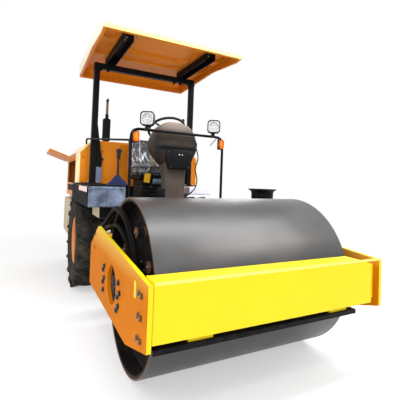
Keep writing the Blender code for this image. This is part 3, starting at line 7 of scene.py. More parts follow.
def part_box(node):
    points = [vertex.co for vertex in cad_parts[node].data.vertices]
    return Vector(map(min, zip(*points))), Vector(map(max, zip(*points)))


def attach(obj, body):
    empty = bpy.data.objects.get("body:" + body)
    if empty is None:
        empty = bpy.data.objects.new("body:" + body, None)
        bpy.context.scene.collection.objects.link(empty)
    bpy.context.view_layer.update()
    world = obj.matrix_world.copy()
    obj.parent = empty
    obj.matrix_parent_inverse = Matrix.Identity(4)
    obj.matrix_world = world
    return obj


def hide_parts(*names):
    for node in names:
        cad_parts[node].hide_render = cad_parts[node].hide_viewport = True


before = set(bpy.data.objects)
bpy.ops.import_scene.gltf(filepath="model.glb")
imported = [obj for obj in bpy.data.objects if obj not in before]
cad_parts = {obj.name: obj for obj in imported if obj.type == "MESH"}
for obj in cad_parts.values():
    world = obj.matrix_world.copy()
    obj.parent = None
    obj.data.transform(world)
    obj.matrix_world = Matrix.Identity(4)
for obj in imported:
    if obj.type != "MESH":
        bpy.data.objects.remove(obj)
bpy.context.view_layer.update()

bpy.ops.object.select_all(action="DESELECT")

# the drum's axis is the place that everything is measured from: X forward, Y left, Z up from the ground
drum_low, drum_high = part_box("drum")
DRUM_X = (drum_low.x + drum_high.x) / 2
MID_Y = (drum_low.y + drum_high.y) / 2
DRUM_R = (drum_high.z - drum_low.z) / 2
DRUM_HALF = (drum_high.y - drum_low.y) / 2
SHIFT = Vector((DRUM_X, MID_Y, 0.0))


def local_box(node):
    """The lowest and highest corner of a node, measured from the drum's axis."""
    low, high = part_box(node)
    return low - SHIFT, high - SHIFT


# ------------------------------------------------------------------ finishes
def wire(tree, out, into):
    tree.links.new(out, into)


def new_finish(name):
    material = bpy.data.materials.new(name)
    material.use_nodes = True
    return material, material.node_tree, material.node_tree.nodes["Principled BSDF"]


def texture(tree, kind, scale, detail=4.0, stretch=None, **more):
    """A noise, wave or voronoi pattern on the piece's own metres."""
    place = tree.nodes.new("ShaderNodeTexCoord")
    pattern = tree.nodes.new(kind)
    pattern.inputs["Scale"].default_value = scale
    if "Detail" in pattern.inputs:
        pattern.inputs["Detail"].default_value = detail
    for key, value in more.items():
        pattern.inputs[key].default_value = value
    source = place.outputs["Object"]
    if stretch:
        mapping = tree.nodes.new("ShaderNodeMapping")
        mapping.inputs["Scale"].default_value = stretch
        wire(tree, source, mapping.inputs["Vector"])
        source = mapping.outputs["Vector"]
    wire(tree, source, pattern.inputs["Vector"])
    return pattern


def ramp(tree, source, stops):
    """A colour ramp with (place, colour) stops."""
    node = tree.nodes.new("ShaderNodeValToRGB")
    elements = node.color_ramp.elements
    while len(elements) < len(stops):
        elements.new(0.5)
    for element, (place, colour) in zip(elements, stops):
        element.position = place
        element.color = (*colour, 1.0) if len(colour) == 3 else colour
    wire(tree, source, node.inputs["Fac"])
    return node


def bumps(tree, shader, height, strength, distance):
    node = tree.nodes.new("ShaderNodeBump")
    node.inputs["Strength"].default_value = strength
    node.inputs["Distance"].default_value = distance
    wire(tree, height, node.inputs["Height"])
    wire(tree, node.outputs["Normal"], shader.inputs["Normal"])
    return node


def mixed(tree, factor, first, second):
    """Mixes two colours by a factor socket; each colour is a socket or a triple."""
    node = tree.nodes.new("ShaderNodeMix")
    node.data_type = "RGBA"
    if hasattr(factor, "is_output"):
        wire(tree, factor, node.inputs["Factor"])
    else:
        node.inputs["Factor"].default_value = factor
    for value, socket in ((first, node.inputs[6]), (second, node.inputs[7])):
        if hasattr(value, "is_output"):
            wire(tree, value, socket)
        else:
            socket.default_value = (*value, 1.0)
    return node.outputs[2]


def scaled_range(tree, source, low, high, new_low, new_high):
    node = tree.nodes.new("ShaderNodeMapRange")
    for socket, value in (("From Min", low), ("From Max", high), ("To Min", new_low), ("To Max", new_high)):
        node.inputs[socket].default_value = value
    wire(tree, source, node.inputs["Value"])
    return node.outputs["Result"]


def height_of(tree):
    """The Z of the surface, from the ground."""
    place = tree.nodes.new("ShaderNodeTexCoord")
    split = tree.nodes.new("ShaderNodeSeparateXYZ")
    wire(tree, place.outputs["Object"], split.inputs["Vector"])
    return split.outputs["Z"]


def times(tree, a, b):
    node = tree.nodes.new("ShaderNodeMath")
    node.operation = "MULTIPLY"
    for value, socket in ((a, node.inputs[0]), (b, node.inputs[1])):
        if hasattr(value, "is_output"):
            wire(tree, value, socket)
        else:
            socket.default_value = value
    return node.outputs[0]


DUST = (0.34, 0.27, 0.19)


def paint(name, colour, rough=0.38, dust=0.25, darker=0.88, peel=0.10, coat=0.25, metallic=0.0, spec=0.30, clouds=2.6,
          painted_top_light=None):
    """Sprayed machine paint: faint orange peel, cloudy tone, thin dust that thickens near the ground; if asked, a
    painted highlight that lightens the colour towards the top.
    """
    material, tree, shader = new_finish(name)
    cloud = texture(tree, "ShaderNodeTexNoise", clouds, 5.0, Roughness=0.62)
    deep = tuple(c * darker for c in colour)
    tone = ramp(tree, cloud.outputs["Fac"], [(0.32, deep), (0.68, colour)]).outputs["Color"]
    # painted light: between the two heights the colour turns towards a lighter one, as if lit from above
    if painted_top_light:
        tone = mixed(tree, scaled_range(tree, height_of(tree), painted_top_light[1], painted_top_light[2], 0.0, 0.85), tone, painted_top_light[0])
    grime = texture(tree, "ShaderNodeTexNoise", 11.0, 8.0, Roughness=0.72)
    speck = scaled_range(tree, grime.outputs["Fac"], 0.48, 0.78, 0.0, 1.0)
    low = scaled_range(tree, height_of(tree), 0.0, 1.3, dust, dust * 0.12)
    wire(tree, mixed(tree, times(tree, speck, low), tone, DUST), shader.inputs["Base Color"])
    rough_map = scaled_range(tree, grime.outputs["Fac"], 0.3, 0.75, rough - 0.05, rough + 0.14)
    wire(tree, rough_map, shader.inputs["Roughness"])
    peel_map = texture(tree, "ShaderNodeTexNoise", 130.0, 2.0)
    bumps(tree, shader, peel_map.outputs["Fac"], peel, 0.002)
    shader.inputs["Coat Weight"].default_value = coat
    shader.inputs["Coat Roughness"].default_value = 0.12
    shader.inputs["Metallic"].default_value = metallic
    shader.inputs["Specular IOR Level"].default_value = spec
    return material


def steel(name, colour, rough, metallic, streak=(1.0, 60.0, 1.0), rust=0.0, streak_strength=0.35):
    """Bare or rolled steel with fine drawn lines, clouds and, if asked, rust blooms."""
    material, tree, shader = new_finish(name)
    lines = texture(tree, "ShaderNodeTexNoise", 6.0, 6.0, stretch=streak, Roughness=0.6)
    cloud = texture(tree, "ShaderNodeTexNoise", 3.2, 6.0, Roughness=0.6)
    dark = tuple(c * 0.84 for c in colour)
    light = tuple(min(1.0, c * 1.14) for c in colour)
    tone = ramp(tree, lines.outputs["Fac"], [(0.25, dark), (0.75, light)]).outputs["Color"]
    cloudy = ramp(tree, cloud.outputs["Fac"], [(0.35, tuple(c * 0.86 for c in colour)), (0.70, light)]).outputs["Color"]
    base = mixed(tree, streak_strength, cloudy, tone)
    if rust > 0.0:
        bloom = texture(tree, "ShaderNodeTexNoise", 14.0, 9.0, Roughness=0.75)
        amount = scaled_range(tree, bloom.outputs["Fac"], 0.50, 0.68, 0.0, rust)
        base = mixed(tree, amount, base, (0.22, 0.075, 0.022))
        wire(tree, scaled_range(tree, bloom.outputs["Fac"], 0.50, 0.68, metallic, metallic * (1.0 - rust)),
             shader.inputs["Metallic"])
    else:
        shader.inputs["Metallic"].default_value = metallic
    wire(tree, base, shader.inputs["Base Color"])
    wire(tree, scaled_range(tree, cloud.outputs["Fac"], 0.3, 0.7, rough - 0.05, rough + 0.09), shader.inputs["Roughness"])
    bumps(tree, shader, lines.outputs["Fac"], 0.05, 0.002)
    return material


def rubber(name, colour, rough=0.78, dust=0.35, grain=240.0, bump=0.25, spec=0.14):
    """Black rubber with a fine grain and road dust."""
    material, tree, shader = new_finish(name)
    grime = texture(tree, "ShaderNodeTexNoise", 9.0, 9.0, Roughness=0.72)
    amount = scaled_range(tree, grime.outputs["Fac"], 0.42, 0.80, 0.0, dust)
    low = scaled_range(tree, height_of(tree), 0.0, 1.1, 1.0, 0.35)
    wire(tree, mixed(tree, times(tree, amount, low), colour, DUST), shader.inputs["Base Color"])
    wire(tree, scaled_range(tree, grime.outputs["Fac"], 0.3, 0.7, rough - 0.10, rough + 0.10), shader.inputs["Roughness"])
    fine = texture(tree, "ShaderNodeTexNoise", grain, 3.0)
    bumps(tree, shader, fine.outputs["Fac"], bump, 0.001)
    shader.inputs["Specular IOR Level"].default_value = spec
    return material


def plastic(name, colour, rough=0.45, grain=420.0, bump=0.20, cloud=0.86, dust=0.0, spec=0.22):
    """Moulded plastic or vinyl with a leather-like grain."""
    material, tree, shader = new_finish(name)
    soft = texture(tree, "ShaderNodeTexNoise", 5.0, 4.0)
    tone = ramp(tree, soft.outputs["Fac"], [(0.3, tuple(c * cloud for c in colour)), (0.7, colour)]).outputs["Color"]
    if dust > 0.0:
        film = texture(tree, "ShaderNodeTexNoise", 16.0, 8.0, Roughness=0.7)
        tone = mixed(tree, scaled_range(tree, film.outputs["Fac"], 0.40, 0.72, 0.0, dust), tone, DUST)
    wire(tree, tone, shader.inputs["Base Color"])
    wire(tree, scaled_range(tree, soft.outputs["Fac"], 0.3, 0.7, rough - 0.04, rough + 0.06), shader.inputs["Roughness"])
    cells = texture(tree, "ShaderNodeTexVoronoi", grain)
    bumps(tree, shader, cells.outputs["Distance"], bump, 0.0008)
    shader.inputs["Specular IOR Level"].default_value = spec
    return material


def clear(name, colour, alpha, rough=0.06, bump=0.0, scale=30.0, painted_glare=None):
    """Clear sheet, lens or film: see-through with a sharp gloss; if asked, streaks of higher opacity paint white
    patches of reflection on it.
    """
    material, tree, shader = new_finish(name)
    shader.inputs["Base Color"].default_value = (*colour, 1.0)
    shader.inputs["Roughness"].default_value = rough
    shader.inputs["Alpha"].default_value = alpha
    shader.inputs["Specular IOR Level"].default_value = 0.8
    if bump > 0.0:
        crease = texture(tree, "ShaderNodeTexNoise", scale, 5.0, Roughness=0.6, Distortion=0.8)
        bumps(tree, shader, crease.outputs["Fac"], bump, 0.01)
    # painted reflection: noise raises the opacity in streaks, so the near-white sheet shows white patches
    if painted_glare:
        painted_shine = texture(tree, "ShaderNodeTexNoise", 9.0, 7.0, stretch=(1.0, 1.6, 0.6), Roughness=0.68, Distortion=1.6)
        wire(tree, scaled_range(tree, painted_shine.outputs["Fac"], 0.50, 0.66, *painted_glare), shader.inputs["Alpha"])
    return material


FINISH = {
    "beam_yellow": paint("beam_yellow", (0.70, 0.53, 0.005), rough=0.38, dust=0.08, darker=0.95, coat=0.06, spec=0.15),
    # a paler yellow, used for a painted highlight along the beam's rounded top front edge
    "beam_painted_highlight": paint("beam_painted_highlight", (0.78, 0.66, 0.14), rough=0.38, dust=0.04, darker=0.96, coat=0.06, spec=0.15),
    # the yoke's yellow darkened to orange-gold as painted shade on the side plates and rear beam, lightened again
    # towards the top as painted light
    "plate_gold_painted_shade": paint("plate_gold_painted_shade", (0.52, 0.150, 0.002), rough=0.50, dust=0.02, darker=0.84, coat=0.0, spec=0.02, clouds=1.7,
                        painted_top_light=((0.60, 0.40, 0.08), 0.71, 0.86)),
    # the machine's yellow darkened to deep orange as painted shade, on the hood, its doors and the roof's liner
    "hood_orange_painted_shade": paint("hood_orange_painted_shade", (0.64, 0.195, 0.008), rough=0.40, dust=0.10, darker=0.88, coat=0.05, spec=0.12),
    "frame_grey": paint("frame_grey", (0.52, 0.52, 0.50), rough=0.42, dust=0.40, darker=0.92, coat=0.15),
    "frame_black": paint("frame_black", (0.007, 0.007, 0.008), rough=0.38, dust=0.06, darker=0.7, coat=0.0, spec=0.05),
    "carrier_black": paint("carrier_black", (0.007, 0.006, 0.006), rough=0.55, dust=0.10, darker=0.7, coat=0.0, spec=0.10),
    "rim_orange": paint("rim_orange", (0.56, 0.20, 0.035), rough=0.42, dust=0.50, darker=0.85, coat=0.15),
    "edge_rust": steel("edge_rust", (0.17, 0.075, 0.026), 0.66, 0.15, streak=(8.0, 8.0, 8.0), rust=0.8),
    "drum_grey": steel("drum_grey", (0.070, 0.069, 0.070), 0.38, 0.65, streak=(1.0, 0.05, 1.0), streak_strength=0.20),
    "rod_chrome": steel("rod_chrome", (0.72, 0.72, 0.74), 0.14, 1.0),
    "cast_black": paint("cast_black", (0.018, 0.017, 0.016), rough=0.62, dust=0.35, darker=0.7, peel=0.30, coat=0.0, spec=0.12),
    "zinc": steel("zinc", (0.62, 0.60, 0.52), 0.28, 0.95, streak=(20.0, 20.0, 20.0)),
    "bolt_brown": steel("bolt_brown", (0.20, 0.125, 0.060), 0.36, 0.85, streak=(20.0, 20.0, 20.0)),
    "bolt_black": steel("bolt_black", (0.045, 0.042, 0.040), 0.42, 0.6, streak=(20.0, 20.0, 20.0)),
    "rusty_pipe": steel("rusty_pipe", (0.20, 0.12, 0.07), 0.66, 0.35, streak=(12.0, 12.0, 3.0), rust=0.95),
    "tyre_black": rubber("tyre_black", (0.013, 0.013, 0.013), dust=0.35, spec=0.05),
    "hose_black": rubber("hose_black", (0.004, 0.004, 0.004), rough=0.40, dust=0.02, grain=500.0, spec=0.01),
    "boot_blue": rubber("boot_blue", (0.006, 0.010, 0.045), rough=0.50, dust=0.04),
    "soft_black": plastic("soft_black", (0.010, 0.010, 0.010), rough=0.46, spec=0.18),
    "console_brown": plastic("console_brown", (0.022, 0.017, 0.014), rough=0.48, dust=0.05, spec=0.16),
    "panel_black": plastic("panel_black", (0.005, 0.005, 0.006), rough=0.36, grain=700.0, bump=0.08, spec=0.12),
    "seat_vinyl": plastic("seat_vinyl", (0.010, 0.010, 0.012), rough=0.48, grain=520.0, bump=0.35),
    "signal_amber": plastic("signal_amber", (0.86, 0.22, 0.012), rough=0.20, grain=180.0, bump=0.30),
    # the film's whiter, more opaque streaks are painted reflection
    "wrap_film": clear("wrap_film", (0.88, 0.90, 0.94), 0.20, rough=0.07, bump=0.9, scale=26.0, painted_glare=(0.06, 0.80)),
    "lamp_lens": clear("lamp_lens", (0.85, 0.88, 0.90), 0.12, rough=0.04, bump=0.15, scale=160.0),
    "mirror_bowl": steel("mirror_bowl", (0.86, 0.87, 0.88), 0.08, 1.0),
    "reflector_pink": plastic("reflector_pink", (0.80, 0.20, 0.18), rough=0.22, grain=300.0, bump=0.40),
    "tag_yellow": plastic("tag_yellow", (0.90, 0.48, 0.02), rough=0.45),
    "tape_tan": plastic("tape_tan", (0.42, 0.28, 0.15), rough=0.55),
    # the machine's yellow lightened to cream and pale yellow as painted light on the roof's sunlit outer skin and front
    # lip
    "roof_cream_painted_sunlit": paint("roof_cream_painted_sunlit", (0.74, 0.70, 0.56), rough=0.40, dust=0.08, darker=0.95, coat=0.05, spec=0.15),
    "lip_yellow_painted_sunlit": paint("lip_yellow_painted_sunlit", (0.84, 0.76, 0.24), rough=0.40, dust=0.03, darker=0.97, coat=0.05, spec=0.15),
    "slate_blue": paint("slate_blue", (0.13, 0.17, 0.25), rough=0.40, dust=0.12, darker=0.85, coat=0.15),
    "sooty_black": paint("sooty_black", (0.006, 0.006, 0.006), rough=0.62, dust=0.06, darker=0.8, coat=0.0, spec=0.10),
    "lamp_white": plastic("lamp_white", (0.52, 0.52, 0.53), rough=0.30, grain=90.0, bump=0.10, cloud=0.80, spec=0.05),
    "bulb_white": plastic("bulb_white", (0.92, 0.92, 0.90), rough=0.15, grain=60.0, bump=0.02),
    "can_teal": plastic("can_teal", (0.13, 0.20, 0.21), rough=0.35),
    # the boxes' light grey paint darkened to slate blue as painted shade on the control box
    "box_slate_painted_shade": paint("box_slate_painted_shade", (0.20, 0.25, 0.37), rough=0.26, dust=0.06, darker=0.20, coat=0.25, spec=0.30, clouds=6.5),
    "sand_beige": paint("sand_beige", (0.46, 0.37, 0.23), rough=0.50, dust=0.30, darker=0.82, coat=0.05),
    "pale_lavender": paint("pale_lavender", (0.66, 0.66, 0.76), rough=0.36, dust=0.06, darker=0.92, coat=0.20),
    # the hood's paint lightened to cream as painted light on its sunlit front corners
    "hood_cream_painted_sunlit": paint("hood_cream_painted_sunlit", (0.90, 0.70, 0.36), rough=0.34, dust=0.10, darker=0.92, coat=0.25),
    # near-black brown, lightened towards the dome's top as a painted highlight
    "dome_brown": paint("dome_brown", (0.036, 0.028, 0.023), rough=0.34, dust=0.02, darker=0.6, peel=0.2, coat=0.0, spec=0.10, clouds=5.0,
                        painted_top_light=((0.27, 0.215, 0.185), 1.75, 1.86)),
    "column_brown": plastic("column_brown", (0.060, 0.046, 0.040), rough=0.52, grain=420.0, bump=0.25, dust=0.10, spec=0.15),
    "seal_black": rubber("seal_black", (0.005, 0.005, 0.005), rough=0.60, dust=0.05, spec=0.02),
    "engine_grey": steel("engine_grey", (0.19, 0.20, 0.20), 0.52, 0.55, streak=(14.0, 14.0, 14.0), rust=0.25),
    "gauge_white": plastic("gauge_white", (0.78, 0.78, 0.74), rough=0.40, grain=900.0, bump=0.05),
    "tail_red": plastic("tail_red", (0.50, 0.015, 0.012), rough=0.18, grain=260.0, bump=0.35),
}

NODE_FINISH = {
    "drum": "drum_grey", "yoke_plate_right": "plate_gold_painted_shade", "yoke_plate_left": "plate_gold_painted_shade", "front_beam": "beam_yellow",
    "scraper": "frame_black", "rear_beam": "plate_gold_painted_shade", "drum_carrier_right": "carrier_black",
    "drum_carrier_left": "carrier_black", "hose_outer": "hose_black", "hose_inner": "hose_black",
    "filler_cup": "soft_black", "hitch_knuckle": "cast_black", "cylinder_barrel": "frame_black",
    "cylinder_rod": "rod_chrome", "chassis": "frame_black", "rear_axle": "cast_black", "counterweight": "sand_beige",
    "tyre_right": "tyre_black", "tyre_left": "tyre_black", "rim_right": "rim_orange", "rim_left": "rim_orange",
    "deck": "frame_grey", "control_box": "box_slate_painted_shade", "side_box_left": "pale_lavender", "hood": "hood_orange_painted_shade",
    "side_vent_right": "frame_black", "side_vent_left": "frame_black", "rear_grille": "frame_black",
    "engine": "cast_black", "hood_door_right": "hood_orange_painted_shade", "hood_door_left": "hood_orange_painted_shade", "rops": "frame_black",
    "canopy": "hood_orange_painted_shade", "light_hoop": "frame_black", "headlamp_right": "soft_black", "headlamp_left": "soft_black",
    "turn_signal_right": "signal_amber", "turn_signal_left": "signal_amber", "handrail_right": "frame_black",
    "console": "console_brown", "steering_wheel": "soft_black", "seat_base": "frame_black",
    "seat_cushion": "seat_vinyl", "seat_back": "seat_vinyl", "lever_boot": "boot_blue", "travel_lever": "soft_black",
    "brake_pedal": "frame_black", "exhaust": "frame_black",
}
for node, finish in NODE_FINISH.items():
    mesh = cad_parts[node].data
    mesh.materials.clear()
    mesh.materials.append(FINISH[finish])


# ------------------------------------------------------------------ making pieces
def only(obj):
    bpy.ops.object.select_all(action="DESELECT")
    obj.select_set(True)
    bpy.context.view_layer.objects.active = obj
    return obj


def named(name):
    obj = bpy.context.view_layer.objects.active
    obj.name = name
    obj.data.name = name
    return obj


def edit(obj):
    only(obj)
    bpy.ops.object.mode_set(mode="EDIT")
    bpy.ops.mesh.select_all(action="SELECT")


def done():
    bpy.ops.object.mode_set(mode="OBJECT")
    return bpy.context.view_layer.objects.active


def fixed(obj):
    """Location, turn and size go into the mesh."""
    only(obj)
    bpy.ops.object.transform_apply(location=True, rotation=True, scale=True)
    return obj


def block(name, x, y, z, bevel=0.0, segments=2):
    """A box between limits with rounded edges."""
    bpy.ops.mesh.primitive_cube_add(size=1.0, location=(sum(x) / 2, sum(y) / 2, sum(z) / 2))
    obj = named(name)
    obj.scale = (abs(x[1] - x[0]), abs(y[1] - y[0]), abs(z[1] - z[0]))
    fixed(obj)
    if bevel > 0.0:
        edit(obj)
        bpy.ops.mesh.bevel(offset=bevel, segments=segments, affect="EDGES")
        done()
    return obj


TURN = {"Z": (0.0, 0.0, 0.0), "X": (0.0, math.pi / 2, 0.0), "Y": (-math.pi / 2, 0.0, 0.0)}


def peg(name, axis, middle, radius, length, sides=24, bevel=0.0, segments=2):
    """A round or six-sided bar with rounded ends, along an axis."""
    bpy.ops.mesh.primitive_cylinder_add(vertices=sides, radius=radius, depth=length, location=middle, rotation=TURN[axis])
    obj = fixed(named(name))
    if bevel > 0.0:
        edit(obj)
        bpy.ops.mesh.select_all(action="DESELECT")
        done()
        normal = Vector({"X": (1, 0, 0), "Y": (0, 1, 0), "Z": (0, 0, 1)}[axis])
        for face in obj.data.polygons:
            face.select = abs(face.normal.dot(normal)) > 0.9
        bpy.ops.object.mode_set(mode="EDIT")
        bpy.ops.mesh.bevel(offset=bevel, segments=segments, affect="EDGES")
        done()
    return obj


def lathe(name, axis, centre, profile, steps=64, loop=False):
    """Spins a profile of (radius, place along the axis) round the axis."""
    bpy.ops.mesh.primitive_plane_add(size=0.001, location=(0.0, 0.0, 0.0))
    obj = named(name)
    edit(obj)
    bpy.ops.mesh.merge(type="CENTER")
    bpy.ops.transform.translate(value=(profile[0][0], 0.0, profile[0][1]))
    for (r0, h0), (r1, h1) in zip(profile, profile[1:]):
        bpy.ops.mesh.extrude_region_move(TRANSFORM_OT_translate={"value": (r1 - r0, 0.0, h1 - h0)})
    if loop:
        bpy.ops.mesh.select_all(action="SELECT")
        done()
        ends = (0, len(obj.data.vertices) - 1)
        for vertex in obj.data.vertices:
            vertex.select = vertex.index in ends
        bpy.ops.object.mode_set(mode="EDIT")
        bpy.ops.mesh.edge_face_add()
    bpy.ops.mesh.select_all(action="SELECT")
    bpy.ops.mesh.spin(steps=steps, angle=2 * math.pi, center=(0.0, 0.0, 0.0), axis=(0.0, 0.0, 1.0))
    bpy.ops.mesh.select_all(action="SELECT")
    bpy.ops.mesh.remove_doubles(threshold=0.00002)
    bpy.ops.mesh.normals_make_consistent(inside=False)
    done()
    obj.rotation_euler = TURN[axis]
    obj.location = {"X": (0.0, *centre), "Y": (centre[0], 0.0, centre[1]), "Z": (*centre, 0.0)}[axis]
    return fixed(obj)


def pipe(name, points, radius, rings=3, smooth=True):
    """A round tube through the points, as a mesh with closed ends."""
    curve = bpy.data.curves.new(name, "CURVE")
    curve.dimensions = "3D"
    curve.bevel_depth = radius
    curve.bevel_resolution = rings
    curve.use_fill_caps = True
    curve.resolution_u = 8
    spline = curve.splines.new("NURBS" if smooth else "POLY")
    spline.points.add(len(points) - 1)
    for point, place in zip(spline.points, points):
        point.co = (*place, 1.0)
    if smooth:
        spline.order_u = 4
        spline.use_endpoint_u = True
    obj = bpy.data.objects.new(name, curve)
    bpy.context.scene.collection.objects.link(obj)
    only(obj)
    bpy.ops.object.convert(target="MESH")
    obj = named(name)
    edit(obj)
    bpy.ops.mesh.remove_doubles(threshold=0.00002)
    bpy.ops.mesh.normals_make_consistent(inside=False)
    return done()


def copied(obj, name="copy"):
    twin = obj.copy()
    twin.data = obj.data.copy()
    twin.name = name
    bpy.context.scene.collection.objects.link(twin)
    return twin


def moved(obj, matrix):
    obj.data.transform(matrix)
    return obj


def joined(name, objs):
    bpy.ops.object.select_all(action="DESELECT")
    for obj in objs:
        obj.select_set(True)
    bpy.context.view_layer.objects.active = objs[0]
    if len(objs) > 1:
        bpy.ops.object.join()
    return named(name)


def carve(obj, tools):
    """Cuts the tools out of the piece."""
    for tool in tools:
        modifier = obj.modifiers.new("Cut", "BOOLEAN")
        modifier.operation = "DIFFERENCE"
        modifier.object = tool
        only(obj)
        bpy.ops.object.modifier_apply(modifier=modifier.name)
    for tool in tools:
        bpy.data.objects.remove(tool, do_unlink=True)
    return obj


def keep(obj, finish, body, angle=35.0, node=None):
    """The finished piece goes to its place on the machine, gets its finish and rides on its body."""
    obj.data.transform(Matrix.Translation(SHIFT))
    if finish is not None:
        obj.data.materials.clear()
        obj.data.materials.append(FINISH[finish])
    only(obj)
    bpy.ops.object.shade_smooth_by_angle(angle=math.radians(angle))
    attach(obj, body)
    if node:
        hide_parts(*([node] if isinstance(node, str) else node))
    obj.select_set(False)
    return obj


def prism(name, axis, span, outline, bevel=0.0, segments=2):
    """A flat outline in the two other coordinates, pulled out over the span."""
    def spot(u, v):
        return {"X": (span[0], u, v), "Y": (u, span[0], v), "Z": (u, v, span[0])}[axis]

    bpy.ops.mesh.primitive_plane_add(size=0.001, location=(0.0, 0.0, 0.0))
    obj = named(name)
    edit(obj)
    bpy.ops.mesh.merge(type="CENTER")
    bpy.ops.transform.translate(value=spot(*outline[0]))
    for before, after in zip(outline, outline[1:]):
        step = Vector(spot(*after)) - Vector(spot(*before))
        bpy.ops.mesh.extrude_region_move(TRANSFORM_OT_translate={"value": step})
    bpy.ops.mesh.select_all(action="SELECT")
    bpy.ops.mesh.edge_face_add()
    pull = Vector({"X": (1, 0, 0), "Y": (0, 1, 0), "Z": (0, 0, 1)}[axis]) * (span[1] - span[0])
    bpy.ops.mesh.extrude_region_move(TRANSFORM_OT_translate={"value": pull})
    bpy.ops.mesh.select_all(action="SELECT")
    bpy.ops.mesh.normals_make_consistent(inside=False)
    if bevel > 0.0:
        bpy.ops.mesh.bevel(offset=bevel, segments=segments, affect="EDGES")
    return done()


SIDES = (("right", -1.0), ("left", 1.0))

# ------------------------------------------------------------------ hex bolts
def hex_bolt(axis, middle, radius, height, outward, washer=True, turn=0.0):
    """A bolt head with a chamfered top on a round washer; outward is +1 or -1 along the axis."""
    step = {"X": Vector((1, 0, 0)), "Y": Vector((0, 1, 0)), "Z": Vector((0, 0, 1))}[axis] * outward
    middle = Vector(middle)
    pieces, seat = [], 0.0
    if washer:
        seat = 0.003
        pieces.append(peg("washer", axis, middle + step * seat / 2, radius * 1.30, seat, sides=16))
    head = peg("head", axis, middle + step * (seat + height / 2), radius, height, sides=6, bevel=radius * 0.10, segments=1)
    spin = Matrix.Translation(middle) @ Matrix.Rotation(turn, 4, step) @ Matrix.Translation(-middle)
    pieces.append(moved(head, spin))
    return joined("bolt", pieces)


def bolts(name, axis, places, radius, height, outward, finish, body, washer=True):
    group = [hex_bolt(axis, place, radius, height, outward, washer, turn=0.4 * index)
             for index, place in enumerate(places)]
    return keep(joined(name, group), finish, body, angle=25.0)


# ------------------------------------------------------------------ camera, floor and light
YAW, TILT, ROLL = math.radians(-27.212), math.radians(1.6375), math.radians(2.0526)
EYE = Vector((2.216, -1.3227, 1.2595)) + SHIFT
forward = Vector((-math.cos(YAW) * math.cos(TILT), -math.sin(YAW) * math.cos(TILT), math.sin(TILT)))
level_right = forward.cross(Vector((0.0, 0.0, 1.0))).normalized()
level_up = level_right.cross(forward)
right = math.cos(ROLL) * level_right + math.sin(ROLL) * level_up
up = -math.sin(ROLL) * level_right + math.cos(ROLL) * level_up
camera_data = bpy.data.cameras.new("camera")
camera_data.sensor_width = 36.0
camera_data.lens = 333.318 / 400.0 * 36.0
camera_data.shift_x = (200.0 - 202.67) / 400.0
camera_data.shift_y = (172.54 - 200.0) / 400.0
camera = bpy.data.objects.new("camera", camera_data)
bpy.context.scene.collection.objects.link(camera)
basis = Matrix((right, up, -forward)).transposed().to_4x4()
camera.matrix_world = Matrix.Translation(EYE) @ basis
bpy.context.scene.camera = camera

bpy.context.scene.view_settings.view_transform = "Standard"

# the floor takes the shadow near the machine and runs out into plain white
floor_material, tree, shader = new_finish("floor_white")
shader.inputs["Base Color"].default_value = (0.90, 0.90, 0.90, 1.0)
shader.inputs["Roughness"].default_value = 0.9
shader.inputs["Specular IOR Level"].default_value = 0.1
glow = tree.nodes.new("ShaderNodeEmission")
glow.inputs["Color"].default_value = (1.0, 1.0, 1.0, 1.0)
blend = tree.nodes.new("ShaderNodeMixShader")
place = tree.nodes.new("ShaderNodeTexCoord")
away = tree.nodes.new("ShaderNodeVectorMath")
away.operation = "LENGTH"
wire(tree, place.outputs["Object"], away.inputs[0])
rays = tree.nodes.new("ShaderNodeLightPath")
seen = tree.nodes.new("ShaderNodeMath")
seen.operation = "MAXIMUM"
wire(tree, rays.outputs["Is Camera Ray"], seen.inputs[0])
wire(tree, rays.outputs["Is Glossy Ray"], seen.inputs[1])
fade = scaled_range(tree, away.outputs["Value"], 1.6, 5.0, 0.45, 1.0)
wire(tree, times(tree, seen.outputs[0], fade), blend.inputs["Fac"])
wire(tree, shader.outputs["BSDF"], blend.inputs[1])
wire(tree, glow.outputs["Emission"], blend.inputs[2])
wire(tree, blend.outputs["Shader"], tree.nodes["Material Output"].inputs["Surface"])
bpy.ops.mesh.primitive_plane_add(size=60.0, location=(0.0, 0.0, -0.0005))
floor = named("floor")
floor.data.materials.append(floor_material)

world = bpy.data.worlds.new("studio")
bpy.context.scene.world = world
world.use_nodes = True
world_tree = world.node_tree
background = world_tree.nodes["Background"]
background.inputs["Color"].default_value = (1.0, 1.0, 1.0, 1.0)
rays = world_tree.nodes.new("ShaderNodeLightPath")
seen = world_tree.nodes.new("ShaderNodeMath")
seen.operation = "MAXIMUM"
wire(world_tree, rays.outputs["Is Camera Ray"], seen.inputs[0])
wire(world_tree, rays.outputs["Is Transmission Ray"], seen.inputs[1])
also = world_tree.nodes.new("ShaderNodeMath")
also.operation = "MAXIMUM"
wire(world_tree, seen.outputs[0], also.inputs[0])
wire(world_tree, rays.outputs["Is Glossy Ray"], also.inputs[1])
strength = world_tree.nodes.new("ShaderNodeMapRange")
strength.inputs["To Min"].default_value = 0.45
strength.inputs["To Max"].default_value = 1.0
wire(world_tree, also.outputs[0], strength.inputs["Value"])
wire(world_tree, strength.outputs["Result"], background.inputs["Strength"])


def lamp(name, place, target, size, power, colour=(1.0, 1.0, 1.0)):
    data = bpy.data.lights.new(name, "AREA")
    data.shape = "RECTANGLE"
    data.size, data.size_y = size
    data.energy = power
    data.color = colour
    obj = bpy.data.objects.new(name, data)
    bpy.context.scene.collection.objects.link(obj)
    obj.location = Vector(place) + SHIFT
    obj.rotation_mode = "QUATERNION"
    obj.rotation_quaternion = (Vector(target) - Vector(place)).to_track_quat("-Z", "Y")
    return obj


